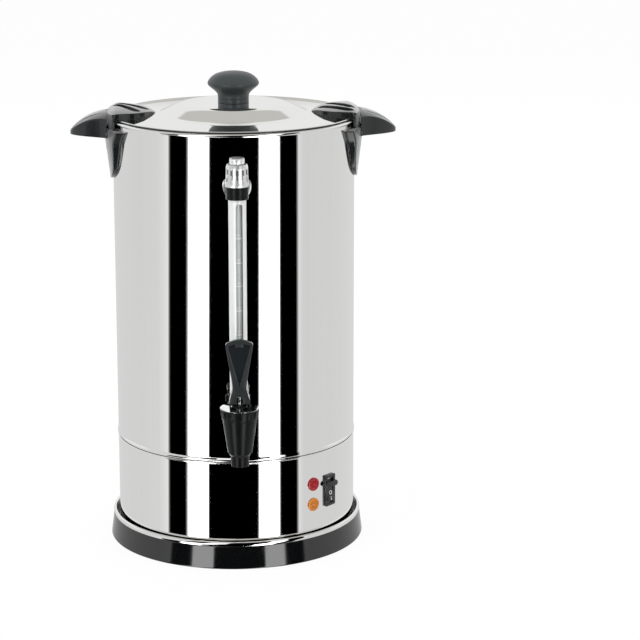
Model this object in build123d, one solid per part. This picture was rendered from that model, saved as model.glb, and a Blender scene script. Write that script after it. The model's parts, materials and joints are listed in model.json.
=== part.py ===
"""Hot water urn: a single-wall steel tank on a black base, with a twist-lock lid, a sight gauge and a lever tap.

Millimetres, +Z up, origin on the resting plane under the tank's axis. The tap and gauge face -Y and the two
side handles lie along X. Every piece is its own solid and is written to parts/NODE.step.
"""
import math
import os

from build123d import *

# ---- clearances ----
SEAT = 0.1          # between two fixed pieces that bed on each other
GAP = 0.3           # between pieces that move past each other
RUNNING = 0.05      # radial play of a pin or stem in its hole

# ---- tank ----
TANK_RADIUS = 137.5
TANK_WALL = 1.0
TANK_SEAM_Z = 123.4          # lower edge of the visible shell, just above the lower housing
TANK_SPIGOT_DEPTH = 15.0     # how far the tank's foot reaches down inside the lower housing
TANK_FLOOR_RISE = 4.6          # floor above the seam
FLOOR_THICKNESS = 1.2
FLOOR_FLANGE = 12.0
RIM_TOP_Z = 493.6
RIM_BEAD = 1.9               # section radius of the rolled rim
RIM_OVERHANG = 0.9           # rolled rim's centre line outside the shell
SEAM_BEAD = 0.9              # how far the seam's bead stands proud
SEAM_BEAD_HEIGHT = 4.2

# ---- lower housing and base ----
HOUSING_WALL = 0.8
HOUSING_TOP_GAP = 0.8        # dark groove between housing and tank bead
HOUSING_LIP = 0.6            # rolled top edge, proud of the housing
HOUSING_LIP_HEIGHT = 1.7
HOUSING_FLANGE = 8.0         # turned-in foot flange
BASE_STEP = 7.0              # base's upper edge outside the tank
BASE_FLARE = 3.4             # how much wider the base is at the bottom
BASE_TOP_Z = 26.0
BASE_WALL = 2.8
SHELF_Z = 20.0               # top of the base's inner shelf, on which the housing stands
SHELF_THICKNESS = 3.0
SHELF_WIDTH = 10.0
TRIM_HEIGHT = 5.0
TRIM_WIDTH = 3.6
TRIM_BULGE = 0.4
PLATE_THICKNESS = 1.2
PLATE_EDGE_CLEARANCE = 2.0
PLATE_SCREW_COUNT = 6
PLATE_SCREW_RADIUS = 1.8
VENT_COUNT = 16
VENT_RADIUS = 3.0
VENT_INSET = 59.5
FOOT_RADIUS = 11.0
FOOT_INSET = 25.5            # feet inside the tank's radius
FOOT_COUNT = 4
FOOT_SCREW_RADIUS = 2.0

# ---- heater and electrics ----
HEAT_PLATE_INSET = 57.5      # heat plate's edge inside the tank's radius
HEAT_PLATE_THICKNESS = 4.5
ELEMENT_CIRCLE = 62.0
ELEMENT_RADIUS = 4.0
ELEMENT_ARC = 325.0
ELEMENT_TAIL = 22.0
DISC_STAT_RADIUS = 8.0
DISC_STAT_HEIGHT = 10.0
DISC_STAT_OFFSET = 30.0
BLOCK_SIZE = (46.0, 20.0, 15.0)
BLOCK_PLACE_Y = 72.0
BLOCK_WAYS = 3
INLET_Z = 66.0
INLET_WIDTH = 28.0
INLET_HEIGHT = 20.0
INLET_DEPTH = 26.0
INLET_FLANGE_WIDTH = 50.0
INLET_FLANGE_HEIGHT = 25.0
INLET_FLANGE_THICKNESS = 3.0
INLET_WALL = 2.0
INLET_SOCKET_DEPTH = 19.0
INLET_PIN = (2.0, 13.5, 4.0)
INLET_SCREW_SPACING = 40.0

# ---- lamps and switch ----
LAMP_AZIMUTH = 38.0          # degrees round from the front, towards +X
RED_LAMP_Z = 86.5
AMBER_LAMP_Z = 62.5
LAMP_RADIUS = 7.75
LAMP_PROUD = 1.8
LAMP_STEM_RADIUS = 6.0
LAMP_STEM_LENGTH = 11.0
LAMP_NUT_RADIUS = 9.2
LAMP_NUT_THICKNESS = 2.6
SWITCH_AZIMUTH = 48.8
SWITCH_Z = 74.2
SWITCH_WIDTH = 17.0
SWITCH_HEIGHT = 36.5
SWITCH_PROUD = 2.6           # front of the frame outside the housing's radius
SWITCH_BODY_WIDTH = 14.0
SWITCH_BODY_HEIGHT = 33.0
SWITCH_BODY_DEPTH = 20.0
WINDOW_WIDTH = 10.8
WINDOW_HEIGHT = 30.0
WINDOW_DEPTH = 14.0
ROCKER_HEIGHT = 27.0
ROCKER_PIVOT_DEPTH = 6.0     # pivot behind the frame's front
ROCKER_SWING = 18.0
ROCKER_FRONT_DEPTH = 0.7     # rocker's face behind the frame's front, before its tilt
THUMB_BAR_WIDTH = 20.0
THUMB_BAR_RISE = 6.5         # thumb bar's centre above the pivot
THUMB_BAR_HEIGHT = 6.0
THUMB_BAR_PROUD = 3.9
THUMB_BAR_THICKNESS = 1.7
ROCKER_PIN_RADIUS = 1.2
ROCKER_PIN_LENGTH = 13.0

# ---- lid ----
LID_THICKNESS = 0.9
LID_FLANGE_RISE = 0.7        # flange's edge above the tank's rim
LID_CREASE_RISE = 3.0        # crease above the flange's edge
LID_CROWN_RISE = 11.0        # crown above the crease
LID_CROWN_RADIUS = 64.0
LID_CROWN_BEND = 40.0
LID_CREASE_RADIUS = 84.0
LID_CREASE_BEND = 5.0
LID_EDGE_INSET = 0.5         # rolled edge's centre line inside the tank's radius
LID_EDGE_BEAD = 1.2
LID_SKIRT_CLEARANCE = 1.2
LID_SKIRT_DEPTH = 9.0
LID_LIFT = 240.0
LID_TWIST = 25.0

# ---- lid knob ----
KNOB_RADIUS = 29.2
KNOB_HEIGHT = 35.3
KNOB_NECK_RADIUS = 18.0
KNOB_NECK_HEIGHT = 8.0
KNOB_BELLY = 20.3            # height of the widest part above the lid
KNOB_SCREW_RADIUS = 2.5
KNOB_SCREW_LENGTH = 16.0
KNOB_WASHER_RADIUS = 9.0
KNOB_WASHER_THICKNESS = 1.2

# ---- lid lugs ----
LUG_LENGTH = 54.8            # from the seam inwards to the lug's tip
LUG_HALF_WIDTH = 60.0        # where the lug meets the lid's rim
LUG_SHOULDER = 40.0          # half width over which the lug's top stays nearly level
LUG_SHOULDER_DROP = 2.2
LUG_SIDE_DROP = 9.5          # from the lug's top down to its sides where they meet the lid
LUG_RISE = 10.7              # lug's highest point above the lid flange's edge
LUG_TIP_DROP = 6.0
LUG_SEAM_DROP = 5.8
LUG_BROW = 13.8              # from the seam inwards to where the lug is highest
HOOK_WALL = 3.2              # hook outside the tank's rim
HOOK_HALF_WIDTH = 46.0
HOOK_DEPTH = 9.6             # hook's lower edge below the tank's rim
TONGUE_REACH = 3.6
TONGUE_THICKNESS = 3.0
TONGUE_ANGLE = 9.0           # half the tongue's spread, in degrees
GRIP_SLOT_WIDTH = 7.5
GRIP_SLOT_DEPTH = 3.0
GRIP_SLOT_LENGTHS = (29.0, 21.0)
GRIP_SLOT_OFFSET = 10.5
LUG_SCREW_RADIUS = 1.8
LUG_SCREW_INSET = 31.8       # from the seam inwards
LUG_SCREW_SPREAD = 24.0

# ---- side handles ----
HANDLE_REACH = 41.0          # wing's tip from the seam
HANDLE_ROOT_HALF_WIDTH = 37.0
HANDLE_RISE = 7.2            # highest point of the arc that shapes the wing's top, above the tank's rim
HANDLE_TOP_ARC = 62.0
HANDLE_ARC_INSET = 0.1       # that arc's centre inside the tank's radius
HANDLE_CROWN = 110.0         # radius of the wing's top across its width
WING_UNDERSIDE_DROP = 20.1   # below the tank's rim, as are the next three
PAD_BOTTOM_DROP = 69.6
PAD_TOP_DROP = 10.3
PAD_HALF_WIDTH = 59.0
PAD_THICK_TOP = 9.0
PAD_THICK_BOTTOM = 3.0
HANDLE_SCREW_DROP = 31.6
HANDLE_SCREW_SPREAD = 25.0
HANDLE_SCREW_RADIUS = 2.0

# ---- sight gauge ----
GAUGE_STANDOFF = 14.0        # gauge axis in front of the tank wall
GLASS_RADIUS = 5.0
GLASS_BORE = 3.6
GLASS_FOOT_RISE = 21.0       # glass's foot above the tap's shank
GLASS_IN_CAP = 8.0           # how far the glass enters the cap
GUARD_RADIUS = 10.3
GUARD_WALL = 0.8
GUARD_FOOT_RISE = 41.0
GUARD_SLOT = 8.4
GUARD_SLOT_MARGIN = 4.0
COLLAR_RADIUS = 12.8
COLLAR_DROP = 68.6           # collar's lower face below the tank's rim
COLLAR_HEIGHT = 14.0
SADDLE_RADIUS = 15.5
SADDLE_PROUD = 10.0
SADDLE_RISE = 6.0            # saddle's centre above the collar's middle
CAP_TOP_RADIUS = 11.9
CAP_BOTTOM_RADIUS = 13.3
CAP_HEIGHT = 24.5
CAP_FLUTES = 12
CAP_FLUTE_RADIUS = 0.9
PLUG_RADIUS = 8.6
PLUG_HEIGHT = 9.0
PLUG_STEM_RADIUS = 4.0
SOCKET_RADIUS = 12.0
SOCKET_FOOT_RISE = 16.5

# ---- tap ----
TAP_STANDOFF = 49.0          # tap axis in front of the tank wall
SHANK_Z = 165.0
SHANK_RADIUS = 10.0
SHANK_BORE = 6.0
SHANK_INNER_LENGTH = 12.0    # inside the tank
SHANK_FLANGE_RADIUS = 16.0
SHANK_FLANGE_THICKNESS = 4.0
GASKET_RADIUS = 15.0
GASKET_THICKNESS = 3.0
SHANK_NUT_ACROSS = 30.0
SHANK_NUT_THICKNESS = 6.0
SPOUT_RADIUS = 9.8
SPOUT_BORE = 7.2
SPOUT_DROP = 32.0            # spout's mouth below the shank
SPOUT_LENGTH = 13.5
CONE_BOTTOM_RADIUS = 10.9
CONE_TOP_RADIUS = 18.9
CONE_RISE = 23.0             # cone's top above the shank
CONE_WALL = 2.6
VALVE_SEAT_DROP = 11.0
BONNET_BOTTOM_RADIUS = 19.6
BONNET_TOP_RADIUS = 21.5
BONNET_HEIGHT = 12.0
BONNET_BOSS_RADIUS = 8.5
BONNET_BOSS_HEIGHT = 3.4
BONNET_CHAMBER = 12.6
BONNET_FLUTES = 14
DISC_THICKNESS = 1.0
STEM_RADIUS = 3.0
STEM_COLLAR_RADIUS = 6.5
CUP_RADIUS = 8.2
CUP_HEIGHT = 7.5
SPRING_RADIUS = 5.4
SPRING_WIRE = 0.5
SPRING_TURNS = 7
PIN_RADIUS = 1.3
PIN_RISE = 6.5               # lever pin above the bonnet's boss
STEM_END = 2.8               # stem's top above the lever pin
LEVER_LENGTH = 67.1          # from the pin to the lever's top
LEVER_TOP_HALF_WIDTH = 15.5
LEVER_WAIST_HALF_WIDTH = 7.6
LEVER_WAIST_RISE = 12.1
LEVER_FOOT_HALF_WIDTH = 11.5
LEVER_THICKNESS = 8.0
LEVER_BORDER = 2.0
LEVER_RECESS = 1.2
CAM_LIFT_PER_RADIAN = 3.6
LEVER_TILT = 50.0

LOW = (Align.CENTER, Align.CENTER, Align.MIN)

TANK_INNER = TANK_RADIUS - TANK_WALL
TANK_FLOOR_Z = TANK_SEAM_Z + TANK_FLOOR_RISE
LID_FLANGE_EDGE_Z = RIM_TOP_Z + LID_FLANGE_RISE
LID_CREASE_Z = LID_FLANGE_EDGE_Z + LID_CREASE_RISE
LID_CROWN_Z = LID_CREASE_Z + LID_CROWN_RISE
LUG_TOP_Z = LID_FLANGE_EDGE_Z + LUG_RISE
LUG_SIDE_Z = LUG_TOP_Z - LUG_SIDE_DROP
LUG_TIP_Z = LUG_TOP_Z - LUG_TIP_DROP
LUG_SEAM_Z = LUG_TOP_Z - LUG_SEAM_DROP
HOOK_BOTTOM_Z = RIM_TOP_Z - HOOK_DEPTH
HANDLE_TOP_Z = RIM_TOP_Z + HANDLE_RISE
WING_UNDERSIDE_Z = RIM_TOP_Z - WING_UNDERSIDE_DROP
PAD_BOTTOM_Z = RIM_TOP_Z - PAD_BOTTOM_DROP
PAD_TOP_Z = RIM_TOP_Z - PAD_TOP_DROP
HANDLE_SCREW_Z = RIM_TOP_Z - HANDLE_SCREW_DROP
COLLAR_BOTTOM_Z = RIM_TOP_Z - COLLAR_DROP
COLLAR_TOP_Z = COLLAR_BOTTOM_Z + COLLAR_HEIGHT
CAP_TOP_Z = COLLAR_TOP_Z + CAP_HEIGHT
GLASS_TOP_Z = COLLAR_TOP_Z + GLASS_IN_CAP
GLASS_BOTTOM_Z = SHANK_Z + GLASS_FOOT_RISE
GUARD_BOTTOM_Z = SHANK_Z + GUARD_FOOT_RISE
SOCKET_BOTTOM_Z = SHANK_Z + SOCKET_FOOT_RISE
SPOUT_BOTTOM_Z = SHANK_Z - SPOUT_DROP
SPOUT_TOP_Z = SPOUT_BOTTOM_Z + SPOUT_LENGTH
CONE_TOP_Z = SHANK_Z + CONE_RISE
VALVE_SEAT_Z = SHANK_Z - VALVE_SEAT_DROP
BONNET_TOP_Z = CONE_TOP_Z + BONNET_HEIGHT
RIM_CENTRE_RADIUS = TANK_RADIUS + RIM_OVERHANG
RIM_CENTRE_Z = RIM_TOP_Z - RIM_BEAD
HOUSING_TOP_Z = TANK_SEAM_Z - HOUSING_TOP_GAP
HOUSING_INNER = TANK_RADIUS - HOUSING_WALL
BASE_TOP_RADIUS = TANK_RADIUS + BASE_STEP
BASE_BOTTOM_RADIUS = BASE_TOP_RADIUS + BASE_FLARE
FOOT_CIRCLE = TANK_RADIUS - FOOT_INSET
VENT_CIRCLE = TANK_RADIUS - VENT_INSET
HEAT_PLATE_RADIUS = TANK_RADIUS - HEAT_PLATE_INSET
LID_EDGE_RADIUS = TANK_RADIUS - LID_EDGE_INSET
RIM_CLEAR_RADIUS = RIM_CENTRE_RADIUS + RIM_BEAD + GAP
SEAM_RADIUS = RIM_CLEAR_RADIUS + HOOK_WALL
LUG_TIP_RADIUS = SEAM_RADIUS - LUG_LENGTH
LUG_TOP_RADIUS = SEAM_RADIUS - LUG_BROW
LUG_SCREW_CIRCLE = SEAM_RADIUS - LUG_SCREW_INSET
HANDLE_FACE = SEAM_RADIUS + 2 * GAP
HANDLE_TIP_RADIUS = HANDLE_FACE + HANDLE_REACH
HANDLE_ARC_CENTRE = TANK_RADIUS - HANDLE_ARC_INSET
GAUGE_Y = TANK_RADIUS + GAUGE_STANDOFF
TAP_Y = TANK_RADIUS + TAP_STANDOFF


def turned(*outline):
    """Solid turned about the Z axis from its closed (radius, height) outline."""
    return revolve(make_face(Polyline(*[(r, 0, z) for r, z in outline], close=True)), Axis.Z)


def rod(radius, start, end):
    """Round bar of this radius from one point to another."""
    run = Vector(*end) - Vector(*start)
    return Plane(origin=start, z_dir=run).location * Cylinder(radius, run.length, align=LOW)


def tube(outer, inner, start, end):
    """Round tube from one point to another."""
    return rod(outer, start, end) - rod(inner, start, end)


def block(low, high):
    """Box between two corners."""
    size = [b - a for a, b in zip(low, high)]
    return Pos(*low) * Box(*size, align=(Align.MIN, Align.MIN, Align.MIN))


def at_azimuth(piece, azimuth):
    """Turns a piece modelled at the front (-Y) round to this azimuth, towards +X."""
    return Rot(0, 0, azimuth) * piece


def opposite(piece):
    """The same piece on the other side of the urn."""
    return Rot(0, 0, 180) * piece


def screw(start, end, shank, head_radius, head_height):
    """Pan-head screw whose head lies outside start and whose shank ends at end."""
    run = (Vector(*end) - Vector(*start)).normalized()
    top = Vector(*start) - run * head_height
    place = Plane(origin=start, z_dir=run).location
    head = rod(head_radius, tuple(top), start)
    slot = place * Pos(0, 0, -head_height) * Box(head_radius * 1.3, 0.8, head_height * 0.8)
    return head + rod(shank, start, end) - slot


def group(pieces):
    """Separate identical solids kept in one node."""
    return Compound(children=list(pieces))


# ---- tank and housing ----


def tank_shell():
    """Open cylinder with a rolled rim, a bead over the seam and a spigot that enters the housing."""
    spigot = HOUSING_INNER - SEAT
    bead_top = TANK_SEAM_Z + SEAM_BEAD_HEIGHT
    bead = TANK_RADIUS + SEAM_BEAD
    shell = turned(
        (spigot - TANK_WALL, TANK_SEAM_Z - TANK_SPIGOT_DEPTH), (spigot, TANK_SEAM_Z - TANK_SPIGOT_DEPTH),
        (spigot, TANK_SEAM_Z), (TANK_RADIUS, TANK_SEAM_Z),
        (bead, TANK_SEAM_Z + SEAM_BEAD_HEIGHT * 0.3), (bead, TANK_SEAM_Z + SEAM_BEAD_HEIGHT * 0.6),
        (TANK_RADIUS, bead_top), (TANK_RADIUS, RIM_CENTRE_Z), (TANK_INNER, RIM_CENTRE_Z),
        (TANK_INNER, TANK_SEAM_Z + TANK_WALL), (spigot - TANK_WALL, TANK_SEAM_Z + TANK_WALL))
    shell += Pos(0, 0, RIM_CENTRE_Z) * Torus(RIM_CENTRE_RADIUS, RIM_BEAD)
    shell -= rod(SHANK_RADIUS + SEAT, (0, 0, SHANK_Z), (0, -TANK_RADIUS - 5, SHANK_Z))
    shell -= rod(SADDLE_SCREW_RADIUS + SEAT, (0, 0, COLLAR_MID_Z), (0, -TANK_RADIUS - 5, COLLAR_MID_Z))
    for side in (-1, 1):
        for spread in (-HANDLE_SCREW_SPREAD, HANDLE_SCREW_SPREAD):
            shell -= rod(HANDLE_SCREW_RADIUS + SEAT, (0, spread, HANDLE_SCREW_Z),
                         (side * (TANK_RADIUS + 5), spread, HANDLE_SCREW_Z))
    return shell


def tank_floor():
    """Pressed floor with an upturned flange welded to the shell."""
    edge = TANK_INNER - SEAT
    top = TANK_FLOOR_Z + FLOOR_THICKNESS
    return turned((0, TANK_FLOOR_Z), (edge, TANK_FLOOR_Z), (edge, TANK_FLOOR_Z + FLOOR_FLANGE),
                  (edge - FLOOR_THICKNESS, TANK_FLOOR_Z + FLOOR_FLANGE), (edge - FLOOR_THICKNESS, top), (0, top))


def lower_housing():
    """Steel skirt that hides the electrics, with cut-outs for lamps, switch and inlet."""
    lip = TANK_RADIUS + HOUSING_LIP
    foot_top = SHELF_Z + HOUSING_WALL
    skirt = turned(
        (TANK_RADIUS - HOUSING_FLANGE, SHELF_Z), (TANK_RADIUS, SHELF_Z),
        (TANK_RADIUS, HOUSING_TOP_Z - HOUSING_LIP_HEIGHT), (lip, HOUSING_TOP_Z - HOUSING_LIP_HEIGHT * 0.7),
        (lip, HOUSING_TOP_Z - HOUSING_LIP_HEIGHT * 0.2), (TANK_RADIUS, HOUSING_TOP_Z),
        (HOUSING_INNER, HOUSING_TOP_Z), (HOUSING_INNER, foot_top), (TANK_RADIUS - HOUSING_FLANGE, foot_top))
    out = TANK_RADIUS + 5
    for z in (RED_LAMP_Z, AMBER_LAMP_Z):
        skirt -= at_azimuth(rod(LAMP_STEM_RADIUS + SEAT, (0, -TANK_RADIUS * 0.9, z), (0, -out, z)), LAMP_AZIMUTH)
    half_w = SWITCH_BODY_WIDTH / 2 + SEAT
    half_h = SWITCH_BODY_HEIGHT / 2 + SEAT
    skirt -= at_azimuth(block((-half_w, -out, SWITCH_Z - half_h), (half_w, -TANK_RADIUS * 0.9, SWITCH_Z + half_h)),
                        SWITCH_AZIMUTH)
    half_w = INLET_WIDTH / 2 + SEAT
    half_h = INLET_HEIGHT / 2 + SEAT
    skirt -= block((-half_w, TANK_RADIUS * 0.9, INLET_Z - half_h), (half_w, out, INLET_Z + half_h))
    for x in inlet_screw_places():
        skirt -= rod(INLET_SCREW_RADIUS + SEAT, (x, TANK_RADIUS * 0.9, INLET_Z), (x, out, INLET_Z))
    for x, y in plate_screw_places():
        skirt -= rod(PLATE_SCREW_RADIUS + SEAT, (x, y, SHELF_Z - 1), (x, y, foot_top + 1))
    return skirt


# ---- base ----

PLATE_Z = SHELF_Z - SHELF_THICKNESS - PLATE_THICKNESS
SHELF_INNER = TANK_RADIUS - SHELF_WIDTH
PLATE_SCREW_CIRCLE = TANK_RADIUS - HOUSING_FLANGE / 2


def base_wall(z):
    """Outer radius of the tapered base at height z."""
    return BASE_BOTTOM_RADIUS + (BASE_TOP_RADIUS - BASE_BOTTOM_RADIUS) * z / BASE_TOP_Z


def on_circle(radius, count, start=0.0):
    """Evenly spaced points round the urn's axis."""
    step = math.tau / count
    return [(radius * math.cos(start + i * step), radius * math.sin(start + i * step)) for i in range(count)]


def plate_screw_places():
    """Places of the screws that hold plate, base and housing together."""
    return on_circle(PLATE_SCREW_CIRCLE, PLATE_SCREW_COUNT, math.radians(30))


def foot_places():
    """Places of the feet under the base plate."""
    return on_circle(FOOT_CIRCLE, FOOT_COUNT, math.radians(45))


def base_ring():
    """Tapered black plastic base with an inner shelf for the housing."""
    shelf_under = SHELF_Z - SHELF_THICKNESS
    ring = turned(
        (BASE_BOTTOM_RADIUS, 0), (BASE_TOP_RADIUS, BASE_TOP_Z), (BASE_TOP_RADIUS - BASE_WALL, BASE_TOP_Z),
        (base_wall(SHELF_Z) - BASE_WALL, SHELF_Z), (SHELF_INNER, SHELF_Z), (SHELF_INNER, shelf_under),
        (base_wall(shelf_under) - BASE_WALL, shelf_under), (BASE_BOTTOM_RADIUS - BASE_WALL, 0))
    for x, y in plate_screw_places():
        ring -= rod(PLATE_SCREW_RADIUS + SEAT, (x, y, shelf_under - 1), (x, y, SHELF_Z + 1))
    return ring


def base_trim_ring():
    """Bright steel ring that caps the base's upper edge."""
    outer = BASE_TOP_RADIUS + TRIM_BULGE
    inner = outer - TRIM_WIDTH
    top = BASE_TOP_Z + TRIM_HEIGHT
    return turned((inner, BASE_TOP_Z), (outer - TRIM_BULGE, BASE_TOP_Z), (outer, BASE_TOP_Z + TRIM_HEIGHT * 0.35),
                  (outer - TRIM_BULGE, BASE_TOP_Z + TRIM_HEIGHT * 0.75), (outer - TRIM_WIDTH * 0.4, top),
                  (outer - TRIM_WIDTH * 0.7, top), (inner, BASE_TOP_Z + TRIM_HEIGHT * 0.8))


def base_plate():
    """Steel plate that closes the base from below, with vents."""
    edge = base_wall(PLATE_Z) - BASE_WALL - PLATE_EDGE_CLEARANCE
    plate = Pos(0, 0, PLATE_Z) * Cylinder(edge, PLATE_THICKNESS, align=LOW)
    low, high = PLATE_Z - 1, PLATE_Z + PLATE_THICKNESS + 1
    for x, y in on_circle(VENT_CIRCLE, VENT_COUNT):
        plate -= rod(VENT_RADIUS, (x, y, low), (x, y, high))
    for x, y in foot_places():
        plate -= rod(FOOT_SCREW_RADIUS + SEAT, (x, y, low), (x, y, high))
    for x, y in plate_screw_places():
        plate -= rod(PLATE_SCREW_RADIUS + SEAT, (x, y, low), (x, y, high))
    return plate


def rubber_feet():
    """Four rubber feet on which the urn stands."""
    feet = []
    for x, y in foot_places():
        foot = Pos(x, y, 0) * Cone(FOOT_RADIUS * 0.85, FOOT_RADIUS, PLATE_Z, align=LOW)
        foot -= rod(FOOT_SCREW_RADIUS * 2 + SEAT, (x, y, -1), (x, y, PLATE_Z * 0.6))
        foot -= rod(FOOT_SCREW_RADIUS + SEAT, (x, y, 0), (x, y, PLATE_Z + 1))
        feet.append(foot)
    return group(feet)


def foot_screws():
    """Screws that hold the feet to the base plate."""
    seat = PLATE_Z * 0.6 - SEAT
    return group([screw((x, y, seat), (x, y, PLATE_Z + PLATE_THICKNESS + 3), FOOT_SCREW_RADIUS,
                        FOOT_SCREW_RADIUS * 1.9, 2.0) for x, y in foot_places()])


def plate_screws():
    """Screws that clamp base plate, base ring and housing flange together."""
    return group([screw((x, y, PLATE_Z - SEAT), (x, y, SHELF_Z + HOUSING_WALL + 3), PLATE_SCREW_RADIUS,
                        PLATE_SCREW_RADIUS * 2, 2.0) for x, y in plate_screw_places()])


# ---- heater and electrics ----

HEAT_PLATE_Z = TANK_FLOOR_Z - HEAT_PLATE_THICKNESS
ELEMENT_Z = HEAT_PLATE_Z - ELEMENT_RADIUS
BLOCK_Z = PLATE_Z + PLATE_THICKNESS
INLET_SCREW_RADIUS = 1.6


def heat_plate():
    """Aluminium disc that spreads the element's heat over the tank floor."""
    return Pos(0, 0, HEAT_PLATE_Z) * Cylinder(HEAT_PLATE_RADIUS, HEAT_PLATE_THICKNESS, align=LOW)


def heating_element():
    """Sheathed element: an open ring under the heat plate, with two cold tails."""
    section = make_face(Pos(ELEMENT_CIRCLE, 0, ELEMENT_Z) * Rot(90, 0, 0) * Edge.make_circle(ELEMENT_RADIUS))
    ring = revolve(section, Axis.Z, ELEMENT_ARC)
    for turn in (0.0, ELEMENT_ARC):
        x = ELEMENT_CIRCLE * math.cos(math.radians(turn))
        y = ELEMENT_CIRCLE * math.sin(math.radians(turn))
        ring += rod(ELEMENT_RADIUS * 0.8, (x, y, ELEMENT_Z), (x, y, ELEMENT_Z - ELEMENT_TAIL))
    return Rot(0, 0, 90 + (360 - ELEMENT_ARC) / 2) * ring


def disc_thermostat(x):
    """Bimetal disc switch under the heat plate, with two blade terminals."""
    low = HEAT_PLATE_Z - DISC_STAT_HEIGHT
    body = rod(DISC_STAT_RADIUS, (x, 0, low), (x, 0, HEAT_PLATE_Z))
    body += rod(DISC_STAT_RADIUS * 1.3, (x, 0, HEAT_PLATE_Z - 2), (x, 0, HEAT_PLATE_Z))
    for y in (-4.0, 4.0):
        body += block((x - 3, y - 0.4, low - 8), (x + 3, y + 0.4, low))
    return body


def terminal_block():
    """Screw terminal strip on the base plate."""
    width, depth, height = BLOCK_SIZE
    body = block((-width / 2, BLOCK_PLACE_Y - depth / 2, BLOCK_Z), (width / 2, BLOCK_PLACE_Y + depth / 2, BLOCK_Z + height))
    pitch = width / BLOCK_WAYS
    for i in range(BLOCK_WAYS):
        x = (i - (BLOCK_WAYS - 1) / 2) * pitch
        body -= rod(pitch * 0.22, (x, BLOCK_PLACE_Y, BLOCK_Z + height * 0.55), (x, BLOCK_PLACE_Y, BLOCK_Z + height + 1))
        body -= rod(pitch * 0.16, (x, BLOCK_PLACE_Y - depth, BLOCK_Z + height * 0.3),
                    (x, BLOCK_PLACE_Y + depth, BLOCK_Z + height * 0.3))
    return body


def inlet_screw_places():
    """Distances of the inlet's two screws from the urn's middle plane."""
    return (-INLET_SCREW_SPACING / 2, INLET_SCREW_SPACING / 2)


def inlet_face_y():
    """Outer face of the inlet's flange behind the tank's axis."""
    return TANK_RADIUS + INLET_FLANGE_THICKNESS


def power_inlet():
    """Appliance inlet in the back of the housing, with its flange bedded on the skirt."""
    face = inlet_face_y()
    flange = block((-INLET_FLANGE_WIDTH / 2, TANK_RADIUS * 0.9, INLET_Z - INLET_FLANGE_HEIGHT / 2),
                   (INLET_FLANGE_WIDTH / 2, face, INLET_Z + INLET_FLANGE_HEIGHT / 2))
    flange -= Cylinder(TANK_RADIUS + SEAT, 4 * INLET_Z)
    body = block((-INLET_WIDTH / 2, face - INLET_DEPTH, INLET_Z - INLET_HEIGHT / 2),
                 (INLET_WIDTH / 2, face, INLET_Z + INLET_HEIGHT / 2))
    half_w = INLET_WIDTH / 2 - INLET_WALL
    half_h = INLET_HEIGHT / 2 - INLET_WALL
    socket = block((-half_w, face - INLET_SOCKET_DEPTH, INLET_Z - half_h), (half_w, face + 1, INLET_Z + half_h))
    inlet = flange + body - socket
    for x in inlet_screw_places():
        inlet -= rod(INLET_SCREW_RADIUS + SEAT, (x, face - INLET_DEPTH, INLET_Z), (x, face + 1, INLET_Z))
    return inlet


def inlet_pins():
    """Three flat contact pins, the middle one raised."""
    width, length, height = INLET_PIN
    back = inlet_face_y() - INLET_SOCKET_DEPTH + SEAT
    return group([block((x - width / 2, back, INLET_Z + z - height / 2), (x + width / 2, back + length, INLET_Z + z + height / 2))
                  for x, z in ((-7.0, -2.0), (0.0, 2.0), (7.0, -2.0))])


def inlet_screws():
    """Two screws through the inlet's flange and the skirt."""
    face = inlet_face_y() + SEAT
    return group([screw((x, face, INLET_Z), (x, face - 10, INLET_Z), INLET_SCREW_RADIUS, INLET_SCREW_RADIUS * 2, 1.6)
                  for x in inlet_screw_places()])


# ---- lamps and switch ----

LAMP_SEAT_Y = TANK_RADIUS + SEAT
LAMP_BACK_Y = LAMP_SEAT_Y - LAMP_STEM_LENGTH


def lamp_lens(z):
    """Coloured lamp cap with a rounded edge and a stem through the skirt."""
    cap = rod(LAMP_RADIUS, (0, -LAMP_SEAT_Y, z), (0, -LAMP_SEAT_Y - LAMP_PROUD, z))
    front = cap.edges().filter_by(GeomType.CIRCLE).sort_by(Axis.Y)[0]
    cap = fillet(front, LAMP_PROUD * 0.3)
    return at_azimuth(cap + rod(LAMP_STEM_RADIUS, (0, -LAMP_BACK_Y, z), (0, -LAMP_SEAT_Y, z)), LAMP_AZIMUTH)


def lamp_holders():
    """Push-on nuts with the neon bodies behind the two lamps."""
    nut_face = math.sqrt(HOUSING_INNER ** 2 - LAMP_NUT_RADIUS ** 2) - SEAT
    holders = []
    for z in (RED_LAMP_Z, AMBER_LAMP_Z):
        nut = tube(LAMP_NUT_RADIUS, LAMP_STEM_RADIUS + SEAT, (0, -nut_face + LAMP_NUT_THICKNESS, z), (0, -nut_face, z))
        back = LAMP_BACK_Y - SEAT
        body = rod(LAMP_STEM_RADIUS + 1.0, (0, -back + 9, z), (0, -back, z))
        bridge = tube(LAMP_STEM_RADIUS + 1.0, LAMP_STEM_RADIUS + SEAT, (0, -back, z), (0, -nut_face + 1, z))
        holders.append(at_azimuth(nut + body + bridge, LAMP_AZIMUTH))
    return group(holders)


SWITCH_FACE_Y = TANK_RADIUS + SWITCH_PROUD
PIVOT_Y = SWITCH_FACE_Y - ROCKER_PIVOT_DEPTH


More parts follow.
